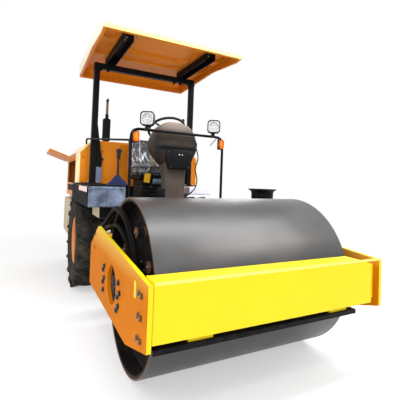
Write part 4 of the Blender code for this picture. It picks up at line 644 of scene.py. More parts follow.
lamp("key", (3.5, 3.5, 5.5), (-0.8, 0.0, 0.8), (3.0, 3.0), 300.0, (1.0, 0.97, 0.92))
lamp("top_strip", (0.95, -0.3, 5.0), (0.95, -0.3, 0.0), (1.2, 7.5), 330.0)
lamp("front_fill", (5.0, -3.0, 2.5), (-0.5, 0.0, 1.0), (3.5, 2.5), 150.0, (0.95, 0.97, 1.0))
lamp("side_fill", (-1.5, -6.0, 3.0), (-1.5, 0.0, 1.2), (4.0, 3.0), 130.0, (1.0, 0.98, 0.95))
lamp("back_fill", (-6.5, 3.0, 4.0), (-2.0, 0.0, 1.2), (4.0, 3.0), 140.0)

# ------------------------------------------------------------------ drum
HEAD_Y = DRUM_HALF - 0.110
SHELL_IN = DRUM_R - 0.028
HEAD_IN = HEAD_Y - 0.024
BUFFER_CIRCLE = 0.330
shell = lathe("drum_shell", "Y", (0.0, DRUM_R), [
    (DRUM_R - 0.0025, DRUM_HALF), (DRUM_R - 0.0006, DRUM_HALF - 0.0008), (DRUM_R, DRUM_HALF - 0.003), (DRUM_R, 0.25),
    (DRUM_R, -0.25), (DRUM_R, -DRUM_HALF + 0.003), (DRUM_R - 0.0006, -DRUM_HALF + 0.0008),
    (DRUM_R - 0.0025, -DRUM_HALF), (DRUM_R - 0.004, -DRUM_HALF + 0.001), (DRUM_R - 0.004, DRUM_HALF - 0.001)],
    steps=180, loop=True)
keep(shell, "drum_grey", "drum", angle=30.0, node="drum")
for side_name, side in SIDES:
    ring = lathe("drum_edge_" + side_name, "Y", (0.0, DRUM_R), [(r, side * y) for r, y in (
        (DRUM_R - 0.0042, DRUM_HALF - 0.0005), (DRUM_R - 0.0110, DRUM_HALF - 0.0005), (DRUM_R - 0.0110, DRUM_HALF - 0.020),
        (DRUM_R - 0.0042, DRUM_HALF - 0.020))], steps=120, loop=True)
    keep(ring, "edge_rust", "drum", angle=30.0)
    inner_ring = lathe("drum_lip_" + side_name, "Y", (0.0, DRUM_R), [(r, side * y) for r, y in (
        (DRUM_R - 0.0112, DRUM_HALF - 0.0010), (SHELL_IN + 0.002, DRUM_HALF - 0.0010), (SHELL_IN, DRUM_HALF - 0.003),
        (SHELL_IN, DRUM_HALF - 0.020), (DRUM_R - 0.0112, DRUM_HALF - 0.020))], steps=120, loop=True)
    keep(inner_ring, "carrier_black", "drum", angle=30.0)
    head = lathe("drum_head_" + side_name, "Y", (0.0, DRUM_R), [(r, side * y) for r, y in (
        (SHELL_IN + 0.004, DRUM_HALF - 0.021), (SHELL_IN, DRUM_HALF - 0.021), (SHELL_IN, HEAD_Y + 0.012),
        (SHELL_IN - 0.005, HEAD_Y + 0.006), (SHELL_IN - 0.014, HEAD_Y), (0.400, HEAD_Y), (0.394, HEAD_Y - 0.004),
        (0.386, HEAD_Y - 0.004), (0.380, HEAD_Y), (0.185, HEAD_Y), (0.178, HEAD_Y + 0.004), (0.172, HEAD_Y + 0.024),
        (0.166, HEAD_Y + 0.028), (0.0515, HEAD_Y + 0.028), (0.0505, HEAD_Y + 0.026), (0.0505, HEAD_IN),
        (SHELL_IN + 0.004, HEAD_IN))], steps=96, loop=True)
    holes = []
    for angle in (0.0, math.pi):
        middle = (BUFFER_CIRCLE * math.cos(angle), side * HEAD_Y, DRUM_R + BUFFER_CIRCLE * math.sin(angle))
        holes.append(peg("hole", "Y", middle, 0.030, 0.2, sides=32))
    keep(carve(head, holes), "carrier_black", "drum", angle=30.0)
    if side > 0:
        tube = peg("vibrator_tube", "Y", (0.0, 0.0, DRUM_R), 0.145, 2 * HEAD_IN - 0.002, sides=48)
        keep(tube, "carrier_black", "drum", angle=30.0)
    plates, rubbers, heads = [], [], []
    for k in range(6):
        angle = 2 * math.pi * (k + 0.5) / 6
        x, z = BUFFER_CIRCLE * math.cos(angle), DRUM_R + BUFFER_CIRCLE * math.sin(angle)
        plates.append(peg("foot", "Y", (x, side * (HEAD_Y + 0.005), z), 0.038, 0.010, sides=28, bevel=0.002, segments=1))
        plates.append(peg("cap", "Y", (x, side * (HEAD_Y + 0.062), z), 0.038, 0.010, sides=28, bevel=0.002, segments=1))
        rubbers.append(lathe("rubber", "Y", (x, z), [(0.0, side * (HEAD_Y + 0.057)), (0.034, side * (HEAD_Y + 0.057)),
                                                     (0.030, side * (HEAD_Y + 0.034)), (0.034, side * (HEAD_Y + 0.010)),
                                                     (0.0, side * (HEAD_Y + 0.010))], steps=28))
        heads.append(hex_bolt("Y", (x, side * (HEAD_Y + 0.067), z), 0.011, 0.007, side, washer=False, turn=k))
    keep(joined("buffer_plates_" + side_name, plates), "edge_rust", "drum")
    keep(joined("buffer_rubbers_" + side_name, rubbers), "tyre_black", "drum")
    keep(joined("buffer_bolts_" + side_name, heads), "zinc", "drum", angle=25.0)
    ring_bolts = []
    for k in range(12):
        angle = 2 * math.pi * (k + 0.5) / 12
        ring_bolts.append((0.145 * math.cos(angle), side * (HEAD_Y + 0.028), DRUM_R + 0.145 * math.sin(angle)))
    bolts("hub_bolts_" + side_name, "Y", ring_bolts, 0.009, 0.007, side, "zinc", "drum", washer=False)

# ------------------------------------------------------------------ yoke
PLATE_OUT = local_box("yoke_plate_left")[1].y
PLATE_IN = PLATE_OUT - 0.025
YOKE_FRONT = local_box("front_beam")[1].x
for side_name, side in SIDES:
    rows = [(-0.227, 0.638), (-0.262, 0.604), (-0.225, 0.554), (-0.258, 0.520), (-0.240, 0.468)]
    rows += [(0.196, 0.636), (0.232, 0.584), (0.186, 0.550), (0.208, 0.500), (0.172, 0.466)]
    bolts("plate_bolts_" + side_name, "Y", [(x, side * PLATE_OUT, z) for x, z in rows], 0.0155, 0.011, side,
          "bolt_black", "front_frame")
    pairs = [(0.636 + dx, side * PLATE_OUT, z) for z in (0.703, 0.597, 0.488) for dx in (-0.020, 0.024)]
    bolts("beam_bolts_" + side_name, "Y", pairs, 0.0135, 0.011, side, "bolt_brown", "front_frame")
    # two flat black discs stand for holes in the plate: painted shade, nothing is cut
    shade_discs = [peg("pit", "Y", (x, side * (PLATE_OUT + 0.0004), z), 0.015, 0.001, sides=24) for x, z in ((-0.636, 0.796), (-0.664, 0.684))]
    keep(joined("plate_holes_painted_shade_" + side_name, shade_discs), "carrier_black", "front_frame")
    slot = prism("plate_slot_" + side_name, "Y", sorted((side * PLATE_OUT - 0.0006, side * PLATE_OUT + 0.0006)), [
        (0.540 + 0.018 * math.cos(a), 0.700 + (0.028 if math.sin(a) > 0 else -0.028) + 0.018 * math.sin(a))
        for a in (2 * math.pi * (k + 0.5) / 16 for k in range(16))])
    keep(slot, "beam_yellow", "front_frame")
    rim_slot = prism("plate_slot_edge_" + side_name, "Y", sorted((side * PLATE_OUT - 0.0004, side * PLATE_OUT + 0.0008)), [
        (0.526 + 0.006 * math.cos(a), 0.708 + (0.030 if math.sin(a) > 0 else -0.030) + 0.010 * math.sin(a))
        for a in (2 * math.pi * (k + 0.5) / 12 for k in range(12))])
    keep(rim_slot, "edge_rust", "front_frame")

# wheels: moulded tyres with angled lugs, dished rims with studs and hub caps
tyre_low, tyre_high = local_box("tyre_left")
AXLE = ((tyre_low.x + tyre_high.x) / 2, tyre_high.z / 2)
WHEEL_Y = 0.720
TYRE_HALF = [
    (0.2556, 0.1035), (0.2620, 0.1075), (0.2680, 0.1130), (0.2800, 0.1190), (0.3000, 0.1270), (0.3060, 0.1315),
    (0.3160, 0.1325), (0.3220, 0.1305), (0.3500, 0.1420), (0.3750, 0.1490), (0.3810, 0.1518), (0.3900, 0.1518),
    (0.3960, 0.1500), (0.4200, 0.1500), (0.4480, 0.1450), (0.4620, 0.1380), (0.4740, 0.1270), (0.4850, 0.1090),
    (0.4920, 0.0840), (0.4960, 0.0500), (0.4975, 0.0200)]
LUG_REACH = (0.170 * math.sin(math.radians(33.0)) + 0.038 * math.cos(math.radians(33.0))) / 2
LUG_TOP = math.sqrt(AXLE[1] ** 2 - LUG_REACH ** 2)
LUG_PHASE = math.atan2(LUG_REACH, LUG_TOP)


def tyre_lug(hand):
    """One bar of the tread at the top of a wheel, with its foot down the shoulder."""
    bar = block("lug", (-0.020, 0.020), (-0.086, 0.086), (0.455, LUG_TOP), bevel=0.004, segments=2)
    edit(bar)
    bpy.ops.mesh.select_all(action="DESELECT")
    done()
    for face in bar.data.polygons:
        face.select = face.center.z > LUG_TOP - 0.006
    bpy.ops.object.mode_set(mode="EDIT")
    bpy.ops.transform.resize(value=(0.80, 0.97, 1.0), center_override=(0.0, 0.0, 0.5))
    done()
    foot = block("foot", (-0.017, 0.017), (-0.013, 0.013), (-0.050, 0.034), bevel=0.005, segments=2)
    moved(foot, Matrix.Translation((0.0, hand * 0.0745, 0.455)) @ Matrix.Rotation(math.radians(hand * -14.0), 4, "X"))
    lug = joined("lug", [bar, foot])
    return moved(lug, Matrix.Translation((0.0, hand * 0.075, 0.0)) @ Matrix.Rotation(math.radians(hand * 33.0), 4, "Z"))


for side_name, side in SIDES:
    wheel_middle = Matrix.Translation((AXLE[0], side * WHEEL_Y, AXLE[1]))
    profile = [(r, side * WHEEL_Y - y) for r, y in TYRE_HALF] + [(r, side * WHEEL_Y + y) for r, y in reversed(TYRE_HALF)]
    pieces = [lathe("carcass", "Y", AXLE, profile, steps=96, loop=True)]
    for hand in (-1.0, 1.0):
        first = tyre_lug(hand)
        for k in range(16):
            angle = 2 * math.pi * (k + (0.5 if hand > 0 else 0.0)) / 16 - LUG_PHASE
            pieces.append(moved(copied(first), wheel_middle @ Matrix.Rotation(angle, 4, "Y")))
        bpy.data.objects.remove(first, do_unlink=True)
    body = "wheel_" + side_name
    keep(joined("tyre_fine_" + side_name, pieces), "tyre_black", body, angle=38.0, node="tyre_" + side_name)
    rim = lathe("rim_fine_" + side_name, "Y", AXLE, [(r, side * (WHEEL_Y + y)) for r, y in (
        (0.2545, 0.1030), (0.2545, -0.1030), (0.2620, -0.1045), (0.2695, -0.1085), (0.2712, -0.1135), (0.2690, -0.1172),
        (0.2640, -0.1180), (0.2560, -0.1150), (0.2480, -0.1060), (0.2450, -0.0960), (0.2450, 0.0060), (0.1500, 0.0060),
        (0.1120, -0.0240), (0.0460, -0.0260), (0.0460, 0.0580), (0.0500, 0.0600), (0.0740, 0.0600), (0.0800, 0.0560),
        (0.0840, 0.0400), (0.0900, 0.0200), (0.1080, 0.0000), (0.1200, -0.0060), (0.1350, 0.0040), (0.1500, 0.0180),
        (0.1580, 0.0205), (0.2000, 0.0205), (0.2150, 0.0240), (0.2360, 0.0300), (0.2450, 0.0400), (0.2450, 0.0960),
        (0.2480, 0.1060), (0.2560, 0.1150), (0.2640, 0.1180), (0.2690, 0.1172), (0.2712, 0.1135), (0.2695, 0.1085),
        (0.2620, 0.1045))], steps=96, loop=True)
    keep(rim, "rim_orange", body, angle=40.0, node="rim_" + side_name)
    cap = lathe("hub_cap_" + side_name, "Y", AXLE, [(r, side * (WHEEL_Y + y)) for r, y in (
        (0.0, 0.0940), (0.020, 0.0930), (0.040, 0.0870), (0.050, 0.0790), (0.0550, 0.0700), (0.0560, 0.0605),
        (0.0535, 0.0605), (0.0500, 0.0755), (0.038, 0.0845), (0.020, 0.0902), (0.0, 0.0912))], steps=48)
    keep(cap, "rim_orange", body, angle=40.0)
    studs = []
    for k in range(8):
        angle = 2 * math.pi * (k + 0.3) / 8
        place = (AXLE[0] + 0.178 * math.cos(angle), side * (WHEEL_Y + 0.0205), AXLE[1] + 0.178 * math.sin(angle))
        studs.append(hex_bolt("Y", place, 0.0150, 0.014, side, turn=k))
        studs.append(peg("stud", "Y", (place[0], place[1] + side * 0.022, place[2]), 0.0075, 0.012, sides=14))
    for k in range(6):
        angle = 2 * math.pi * k / 6
        place = (AXLE[0] + 0.066 * math.cos(angle), side * (WHEEL_Y + 0.060), AXLE[1] + 0.066 * math.sin(angle))
        studs.append(hex_bolt("Y", place, 0.0070, 0.006, side, washer=False, turn=k))
    keep(joined("wheel_nuts_" + side_name, studs), "bolt_black", body, angle=25.0)
    valve = peg("valve_" + side_name, "Y", (AXLE[0] + 0.232, side * (WHEEL_Y + 0.051), AXLE[1]), 0.0045, 0.050, sides=12, bevel=0.0015)
    keep(valve, "tyre_black", body)


def flowing(knots, steps=8):
    """Points of a smooth curve through the knots."""
    knots = [Vector(k) for k in knots]
    ends = [2 * knots[0] - knots[1], *knots, 2 * knots[-1] - knots[-2]]
    path = []
    for a, b, c, d in zip(ends, ends[1:], ends[2:], ends[3:]):
        for k in range(steps):
            t = k / steps
            path.append(0.5 * (2 * b + (c - a) * t + (2 * a - 5 * b + 4 * c - d) * t ** 2
                               + (3 * b - a - 3 * c + d) * t ** 3))
    path.append(knots[-1])
    return path


# hydraulic hoses of the drum drive, with pressed ferrules and elbows
HOSE_Y = -(DRUM_HALF + 0.040)
BEAM_TOP = local_box("rear_beam")[1].z
PORT_X = 0.2013
for name, radius, rear_x, port_z, knots in (
        ("hose_outer", 0.0205, -0.810, 0.528, (
            (-0.810, 0.805), (-0.810, 0.820), (-0.768, 0.850), (-0.585, 0.894), (-0.400, 0.980), (-0.213, 1.045),
            (0.060, 1.000), (0.237, 0.880), (0.325, 0.740), (0.325, 0.620), (0.285, 0.545), (0.262, 0.529), (0.248, 0.528))),
        ("hose_inner", 0.0165, -0.745, 0.602, (
            (-0.745, 0.794), (-0.745, 0.804), (-0.703, 0.826), (-0.420, 0.878), (-0.200, 0.928), (-0.010, 0.905),
            (0.120, 0.850), (0.215, 0.760), (0.262, 0.680), (0.262, 0.626), (0.250, 0.607), (0.240, 0.602)))):
    route = flowing([(x, HOSE_Y, z) for x, z in knots], 6)
    hose = pipe(name + "_fine", route, radius, rings=5, smooth=False)
    keep(hose, "hose_black", "front_frame", angle=50.0, node=name)
    foot_top = knots[0][1] + 0.012
    fitting = [lathe("ferrule", "Z", (rear_x, HOSE_Y), [
        (0.0, BEAM_TOP + 0.001), (radius * 0.95, BEAM_TOP + 0.001), (radius * 0.95, BEAM_TOP + 0.012),
        (radius + 0.004, BEAM_TOP + 0.014), (radius + 0.004, foot_top), (0.0, foot_top)], steps=28)]
    end_x = knots[-1][0]
    fitting.append(lathe("ferrule", "X", (HOSE_Y, port_z), [
        (0.0, PORT_X), (radius * 0.80, PORT_X), (radius * 0.80, PORT_X + 0.010), (radius * 1.12, PORT_X + 0.011),
        (radius * 1.12, PORT_X + 0.022), (radius + 0.0035, PORT_X + 0.023), (radius + 0.0035, end_x + 0.014),
        (0.0, end_x + 0.014)], steps=28))
    keep(joined(name + "_fittings", fitting), "zinc", "front_frame", angle=30.0)

def octagon(x, y, cut):
    """The outline of a rectangle with its corners cut off."""
    return [(x[0] + cut, y[0]), (x[1] - cut, y[0]), (x[1], y[0] + cut), (x[1], y[1] - cut), (x[1] - cut, y[1]),
            (x[0] + cut, y[1]), (x[0], y[1] - cut), (x[0], y[0] + cut)]


# roof: outer skin in cream and front lip in pale yellow as painted light on its sunlit faces, the liner in orange as
# painted shade on its underside, with pressed pans
roof_low, roof_high = local_box("canopy")
ROOF_FRONT, ROOF_REAR, ROOF_TOP, ROOF_HALF = roof_high.x, roof_low.x, roof_high.z, roof_high.y
LIP = ROOF_TOP - 0.107
SKIRT = LIP - 0.061
UNDER = ROOF_TOP - 0.068
SKIN = 0.004
skin_view = [
    (ROOF_FRONT, LIP - 0.043), (ROOF_FRONT, LIP), (ROOF_FRONT - 0.20, ROOF_TOP - 0.022), (ROOF_FRONT - 0.34, ROOF_TOP),
    (ROOF_REAR + 0.10, ROOF_TOP), (ROOF_REAR, ROOF_TOP - 0.055), (ROOF_REAR, SKIRT - 0.002), (ROOF_FRONT - 0.69, SKIRT + 0.044),
    (ROOF_FRONT - 0.12, SKIRT)]
liner_view = [
    (ROOF_FRONT - SKIN, LIP - 0.0432), (ROOF_FRONT - SKIN, LIP - 0.002), (ROOF_FRONT - 0.201, ROOF_TOP - 0.027),
    (ROOF_FRONT - 0.34, ROOF_TOP - SKIN), (ROOF_REAR + 0.102, ROOF_TOP - SKIN), (ROOF_REAR + SKIN, ROOF_TOP - 0.058),
    (ROOF_REAR + SKIN, SKIRT - 0.003), (ROOF_FRONT - 0.69, SKIRT + 0.043), (ROOF_FRONT - 0.121, SKIRT - 0.001)]
hollow_view = [(x, z if z > LIP - 0.05 else z - 0.2) for x, z in liner_view]
# outer skin in cream: painted light on the roof's sunlit faces
skin = prism("roof_skin", "Y", (-ROOF_HALF, ROOF_HALF), skin_view, bevel=0.014, segments=3)
hollow = prism("hollow", "Y", (-ROOF_HALF + SKIN, ROOF_HALF - SKIN), hollow_view)
keep(carve(skin, [hollow]), "roof_cream_painted_sunlit", "rear_frame", angle=40.0, node="canopy")
liner = prism("roof_liner", "Y", (-ROOF_HALF + SKIN + 0.001, ROOF_HALF - SKIN - 0.001), liner_view, bevel=0.010, segments=2)
lid_view = [
    (ROOF_FRONT - 0.034, SKIRT - 0.10), (ROOF_FRONT - 0.034, LIP - 0.024), (ROOF_FRONT - 0.120, UNDER - 0.026),
    (ROOF_FRONT - 0.210, UNDER - 0.008), (ROOF_FRONT - 0.260, UNDER), (ROOF_REAR + 0.090, UNDER),
    (ROOF_REAR + 0.034, UNDER - 0.030), (ROOF_REAR + 0.030, SKIRT - 0.10)]
tray = prism("tray", "Y", (-(ROOF_HALF - 0.036), ROOF_HALF - 0.036), lid_view)
pans = []
for x, y, cut in (((-1.720, -1.215), (-0.405, 0.405), 0.110), ((-2.010, -1.800), (-0.405, 0.405), 0.060),
                  ((-1.440, -1.180), (-0.725, -0.575), 0.045), ((-1.960, -1.520), (-0.725, -0.575), 0.045),
                  ((-1.440, -1.180), (0.575, 0.725), 0.045), ((-1.960, -1.520), (0.575, 0.725), 0.045),
                  ((-2.600, -2.180), (-0.700, -0.080), 0.080), ((-2.600, -2.180), (0.080, 0.700), 0.080)):
    pan = prism("pan", "Z", (UNDER - 0.05, UNDER + 0.026), octagon(x, y, cut))
    edit(pan)
    bpy.ops.mesh.select_all(action="DESELECT")
    done()
    for face in pan.data.polygons:
        face.select = face.center.z > UNDER + 0.02
    middle = (sum(x) / 2, sum(y) / 2, UNDER)
    bpy.ops.object.mode_set(mode="EDIT")
    bpy.ops.transform.resize(value=(1 - 0.045 / (x[1] - x[0]), 1 - 0.045 / (y[1] - y[0]), 1.0), center_override=middle)
    done()
    pans.append(pan)
for place in ((-1.095, -0.330), (-1.095, 0.020), (-1.095, 0.180), (-2.420, 0.700), (-2.330, -0.730), (-1.090, 0.640)):
    pans.append(peg("hole", "Z", (*place, UNDER), 0.006, 0.060, sides=16))
# the liner in the hood's orange: painted shade on the roof's underside
keep(carve(liner, [tray, *pans]), "hood_orange_painted_shade", "rear_frame", angle=32.0)
# the front lip in pale yellow: painted light on the roof's sunlit front edge
lip_bar = prism("roof_lip", "Y", (-ROOF_HALF + 0.004, ROOF_HALF - 0.004), [
    (ROOF_FRONT - 0.006, LIP - 0.046), (ROOF_FRONT + 0.0015, LIP - 0.046), (ROOF_FRONT + 0.0030, LIP - 0.040),
    (ROOF_FRONT + 0.0030, LIP - 0.006), (ROOF_FRONT - 0.002, LIP + 0.001), (ROOF_FRONT - 0.006, LIP + 0.001)])
keep(lip_bar, "lip_yellow_painted_sunlit", "rear_frame", angle=40.0)

# roll bar: clamp tips, channel bolts, gusset shoe, foot bolts
bar_low, bar_high = local_box("rops")
POST_X = -2.075
POST_Y, POST_TOP, BOX_TOP = 0.650, 2.700, local_box("control_box")[1].z
tips = []
for y in (-0.600, -0.508, 0.392, 0.484):
    tip = prism("tip", "X", (POST_X - 0.020, POST_X + 0.026), [
        (y - 0.020, POST_TOP - 0.070), (y + 0.020, POST_TOP - 0.070), (y - 0.012, POST_TOP - 0.106)], bevel=0.002, segments=1)
    tips.append(tip)
for side_name, side in SIDES:
    for x in (-1.262, -1.330):
        tips.append(block("pad", (x - 0.022, x + 0.022), (side * 0.490 - 0.020, side * 0.490 + 0.020), (2.7605, 2.7645), bevel=0.001))
    tips.append(block("cover", (POST_X - 0.042, POST_X + 0.042), sorted((side * 0.600, side * 0.692)), (2.6160, 2.6260), bevel=0.003))
keep(joined("roll_bar_tips", tips), "frame_black", "rear_frame", angle=30.0)
channel_bolts = []
for side_name, side in SIDES:
    for x in (-1.262, -1.330):
        channel_bolts.append(hex_bolt("Z", (x, side * 0.490, 2.7605), 0.009, 0.007, -1.0, turn=x))
    for dy in (-0.058, 0.058):
        channel_bolts.append(hex_bolt("Z", (POST_X + 0.052, side * (POST_Y + dy), BOX_TOP + 0.0183), 0.0095, 0.008, 1.0, turn=dy))
keep(joined("roll_bar_bolts", channel_bolts), "zinc", "rear_frame", angle=25.0)
shoe = prism("gusset_shoe", "X", (POST_X + 0.012, POST_X + 0.024), [
    (-0.614, BOX_TOP + 0.0185), (-0.548, BOX_TOP + 0.0185), (-0.540, BOX_TOP + 0.205), (-0.614, BOX_TOP + 0.215)],
    bevel=0.002, segments=1)
keep(shoe, "slate_blue", "rear_frame", angle=30.0)

# lamps with finned housings, reflectors and clear lenses
def soft_square(name, x, y, z, half, radius):
    """A square plate across X with round corners."""
    corners = [(1.0, 1.0), (-1.0, 1.0), (-1.0, -1.0), (1.0, -1.0)]
    outline = [(y + sy * (half - radius) + radius * math.cos(math.radians(90.0 * k + 15.0 * step)),
                z + sz * (half - radius) + radius * math.sin(math.radians(90.0 * k + 15.0 * step)))
               for k, (sy, sz) in enumerate(corners) for step in range(7)]
    return prism(name, "X", x, outline)


for side_name, side in SIDES:
    y, z = side * 0.360, 1.842
    aim = Matrix.Translation((-0.840, y, 0.0)) @ Matrix.Rotation(math.radians(-27.0), 4, "Z") @ Matrix.Translation((0.840, -y, 0.0))
    case = carve(soft_square("lamp_case_" + side_name, (-0.868, -0.803), y, z, 0.067, 0.034),
                 [soft_square("hollow", (-0.8445, -0.790), y, z, 0.0585, 0.027)])
    pieces = [case]
    for k in range(5):
        pieces.append(block("fin", (-0.878, -0.866), (y - 0.046 + 0.023 * k - 0.002, y - 0.046 + 0.023 * k + 0.002),
                            (z - 0.046, z + 0.046), bevel=0.0008, segments=1))
    pieces = [moved(joined("turned_case", pieces), aim)]
    pieces.append(block("stem", (-0.866, -0.840), (y - 0.016, y + 0.016), (1.7335, z - 0.064), bevel=0.003))
    pieces.append(block("saddle", (-0.880, -0.836), (y - 0.020, y + 0.020), (1.7315, 1.7510), bevel=0.003))
    keep(joined("lamp_" + side_name, pieces), "soft_black", "rear_frame", angle=35.0, node="headlamp_" + side_name)
    bowl = lathe("lamp_bowl_" + side_name, "X", (y, z), [
        (0.0, -0.8405), (0.012, -0.8400), (0.024, -0.8370), (0.036, -0.8300), (0.044, -0.8220), (0.0490, -0.8120),
        (0.0500, -0.8075), (0.0575, -0.8065), (0.0575, -0.8085), (0.0515, -0.8095), (0.0460, -0.8225), (0.038, -0.8320),
        (0.024, -0.8390), (0.012, -0.8422), (0.0, -0.8425)], steps=48)
    backing = carve(soft_square("lamp_back_" + side_name, (-0.8120, -0.8095), y, z, 0.0575, 0.027),
                    [peg("hollow", "X", (-0.811, y, z), 0.0480, 0.020, sides=48)])
    keep(moved(joined("lamp_bowl_" + side_name, [bowl, backing]), aim), "lamp_white", "rear_frame", angle=40.0)
    bulb = lathe("lamp_bulb_" + side_name, "X", (y, z), [
        (0.0, -0.8180), (0.006, -0.8190), (0.0085, -0.8230), (0.0085, -0.8320), (0.0060, -0.8390), (0.0, -0.8395)], steps=24)
    keep(moved(bulb, aim), "bulb_white", "rear_frame", angle=40.0)
    lens = soft_square("lamp_lens_" + side_name, (-0.8055, -0.8035), y, z, 0.0560, 0.026)
    keep(moved(lens, aim), "lamp_lens", "rear_frame", angle=40.0)
    ring = lathe("lamp_ring_" + side_name, "X", (y, z), [
        (0.0415, -0.8038), (0.0415, -0.8026), (0.0425, -0.8020), (0.0435, -0.8026), (0.0435, -0.8038)], steps=48, loop=True)
    keep(moved(ring, aim), "bolt_black", "rear_frame", angle=40.0)
    keep(joined("lamp_bolts_" + side_name, [
        hex_bolt("Y", (-0.853, y + 0.016, 1.757), 0.006, 0.005, 1.0), hex_bolt("Y", (-0.853, y - 0.016, 1.757), 0.006, 0.005, -1.0)]),
        "zinc", "rear_frame", angle=25.0)
    # turn signal: amber capsule on a black plate
    sy = side * 0.461
    plate = block("signal_base_" + side_name, (-0.8755, -0.858), (sy - 0.035, sy + 0.031), (1.610, 1.722), bevel=0.008, segments=3)
    arm = block("arm", (-0.898, -0.870), sorted((side * 0.470, side * 0.4855)), (1.624, 1.654), bevel=0.002)
    keep(joined("signal_base_" + side_name, [plate, arm]), "soft_black", "rear_frame", angle=35.0,
         node="turn_signal_" + side_name)
    amber = block("signal_" + side_name, (-0.859, -0.832), (sy - 0.026, sy + 0.026), (1.617, 1.715))
    edit(amber)
    bpy.ops.mesh.select_all(action="DESELECT")
    done()
    for edge in amber.data.edges:
        a, b = (amber.data.vertices[i].co for i in edge.vertices)
        edge.select = abs(a.x - b.x) > 0.01
    bpy.ops.object.mode_set(mode="EDIT")
    bpy.ops.mesh.bevel(offset=0.0258, segments=8, affect="EDGES")
    done()
    for face in amber.data.polygons:
        face.select = face.normal.x > 0.9
    bpy.ops.object.mode_set(mode="EDIT")
    bpy.ops.mesh.bevel(offset=0.007, segments=3, affect="EDGES")
    done()
    keep(amber, "signal_amber", "rear_frame", angle=40.0)

# exhaust: silencer with bands, sleeve and a rusty pipe cut at a slant
EX, EY, HOOD_TOP = -2.255, -0.470, local_box("hood")[1].z
silencer = lathe("silencer", "Z", (EX, EY), [
    (0.0, 2.046), (0.030, 2.046), (0.042, 2.043), (0.0485, 2.036), (0.0505, 2.028), (0.0505, HOOD_TOP + 0.032),
    (0.0480, HOOD_TOP + 0.022), (0.040, HOOD_TOP + 0.017), (0.030, HOOD_TOP + 0.014), (0.030, HOOD_TOP - 0.0015), (0.0, HOOD_TOP - 0.0015)],
    steps=48)
pieces = [silencer]
for z in (HOOD_TOP + 0.060, 2.000):
    pieces.append(lathe("band", "Z", (EX, EY), [(0.0500, z - 0.008), (0.0515, z - 0.008), (0.0515, z + 0.008), (0.0500, z + 0.008)],
                        steps=48, loop=True))
pieces.append(lathe("sleeve", "Z", (EX, EY), [
    (0.0, 2.105), (0.018, 2.105), (0.0210, 2.102), (0.0210, 2.060), (0.0240, 2.052), (0.0300, 2.0460), (0.0, 2.0460)], steps=36))
keep(joined("silencer", pieces), "sooty_black", "rear_frame", angle=35.0, node="exhaust")
stack = lathe("exhaust_pipe", "Z", (EX, EY), [
    (0.0130, 2.328), (0.0160, 2.328), (0.0160, 2.1052), (0.0130, 2.1052)], steps=36, loop=True)
wedge = block("wedge", (-0.06, 0.06), (-0.06, 0.06), (0.0, 0.12))
moved(wedge, Matrix.Translation((EX, EY, 2.310)) @ Matrix.Rotation(math.radians(42.0), 4, "X"))
keep(carve(stack, [wedge]), "rusty_pipe", "rear_frame", angle=35.0)
collar = lathe("exhaust_tip", "Z", (EX, EY), [(0.0165, 2.300), (0.0185, 2.300), (0.0185, 2.272), (0.0165, 2.272)], steps=36, loop=True)
wedge = block("wedge", (-0.06, 0.06), (-0.06, 0.06), (0.0, 0.12))
moved(wedge, Matrix.Translation((EX, EY, 2.306)) @ Matrix.Rotation(math.radians(42.0), 4, "X"))
keep(carve(collar, [wedge]), "sooty_black", "rear_frame", angle=35.0)

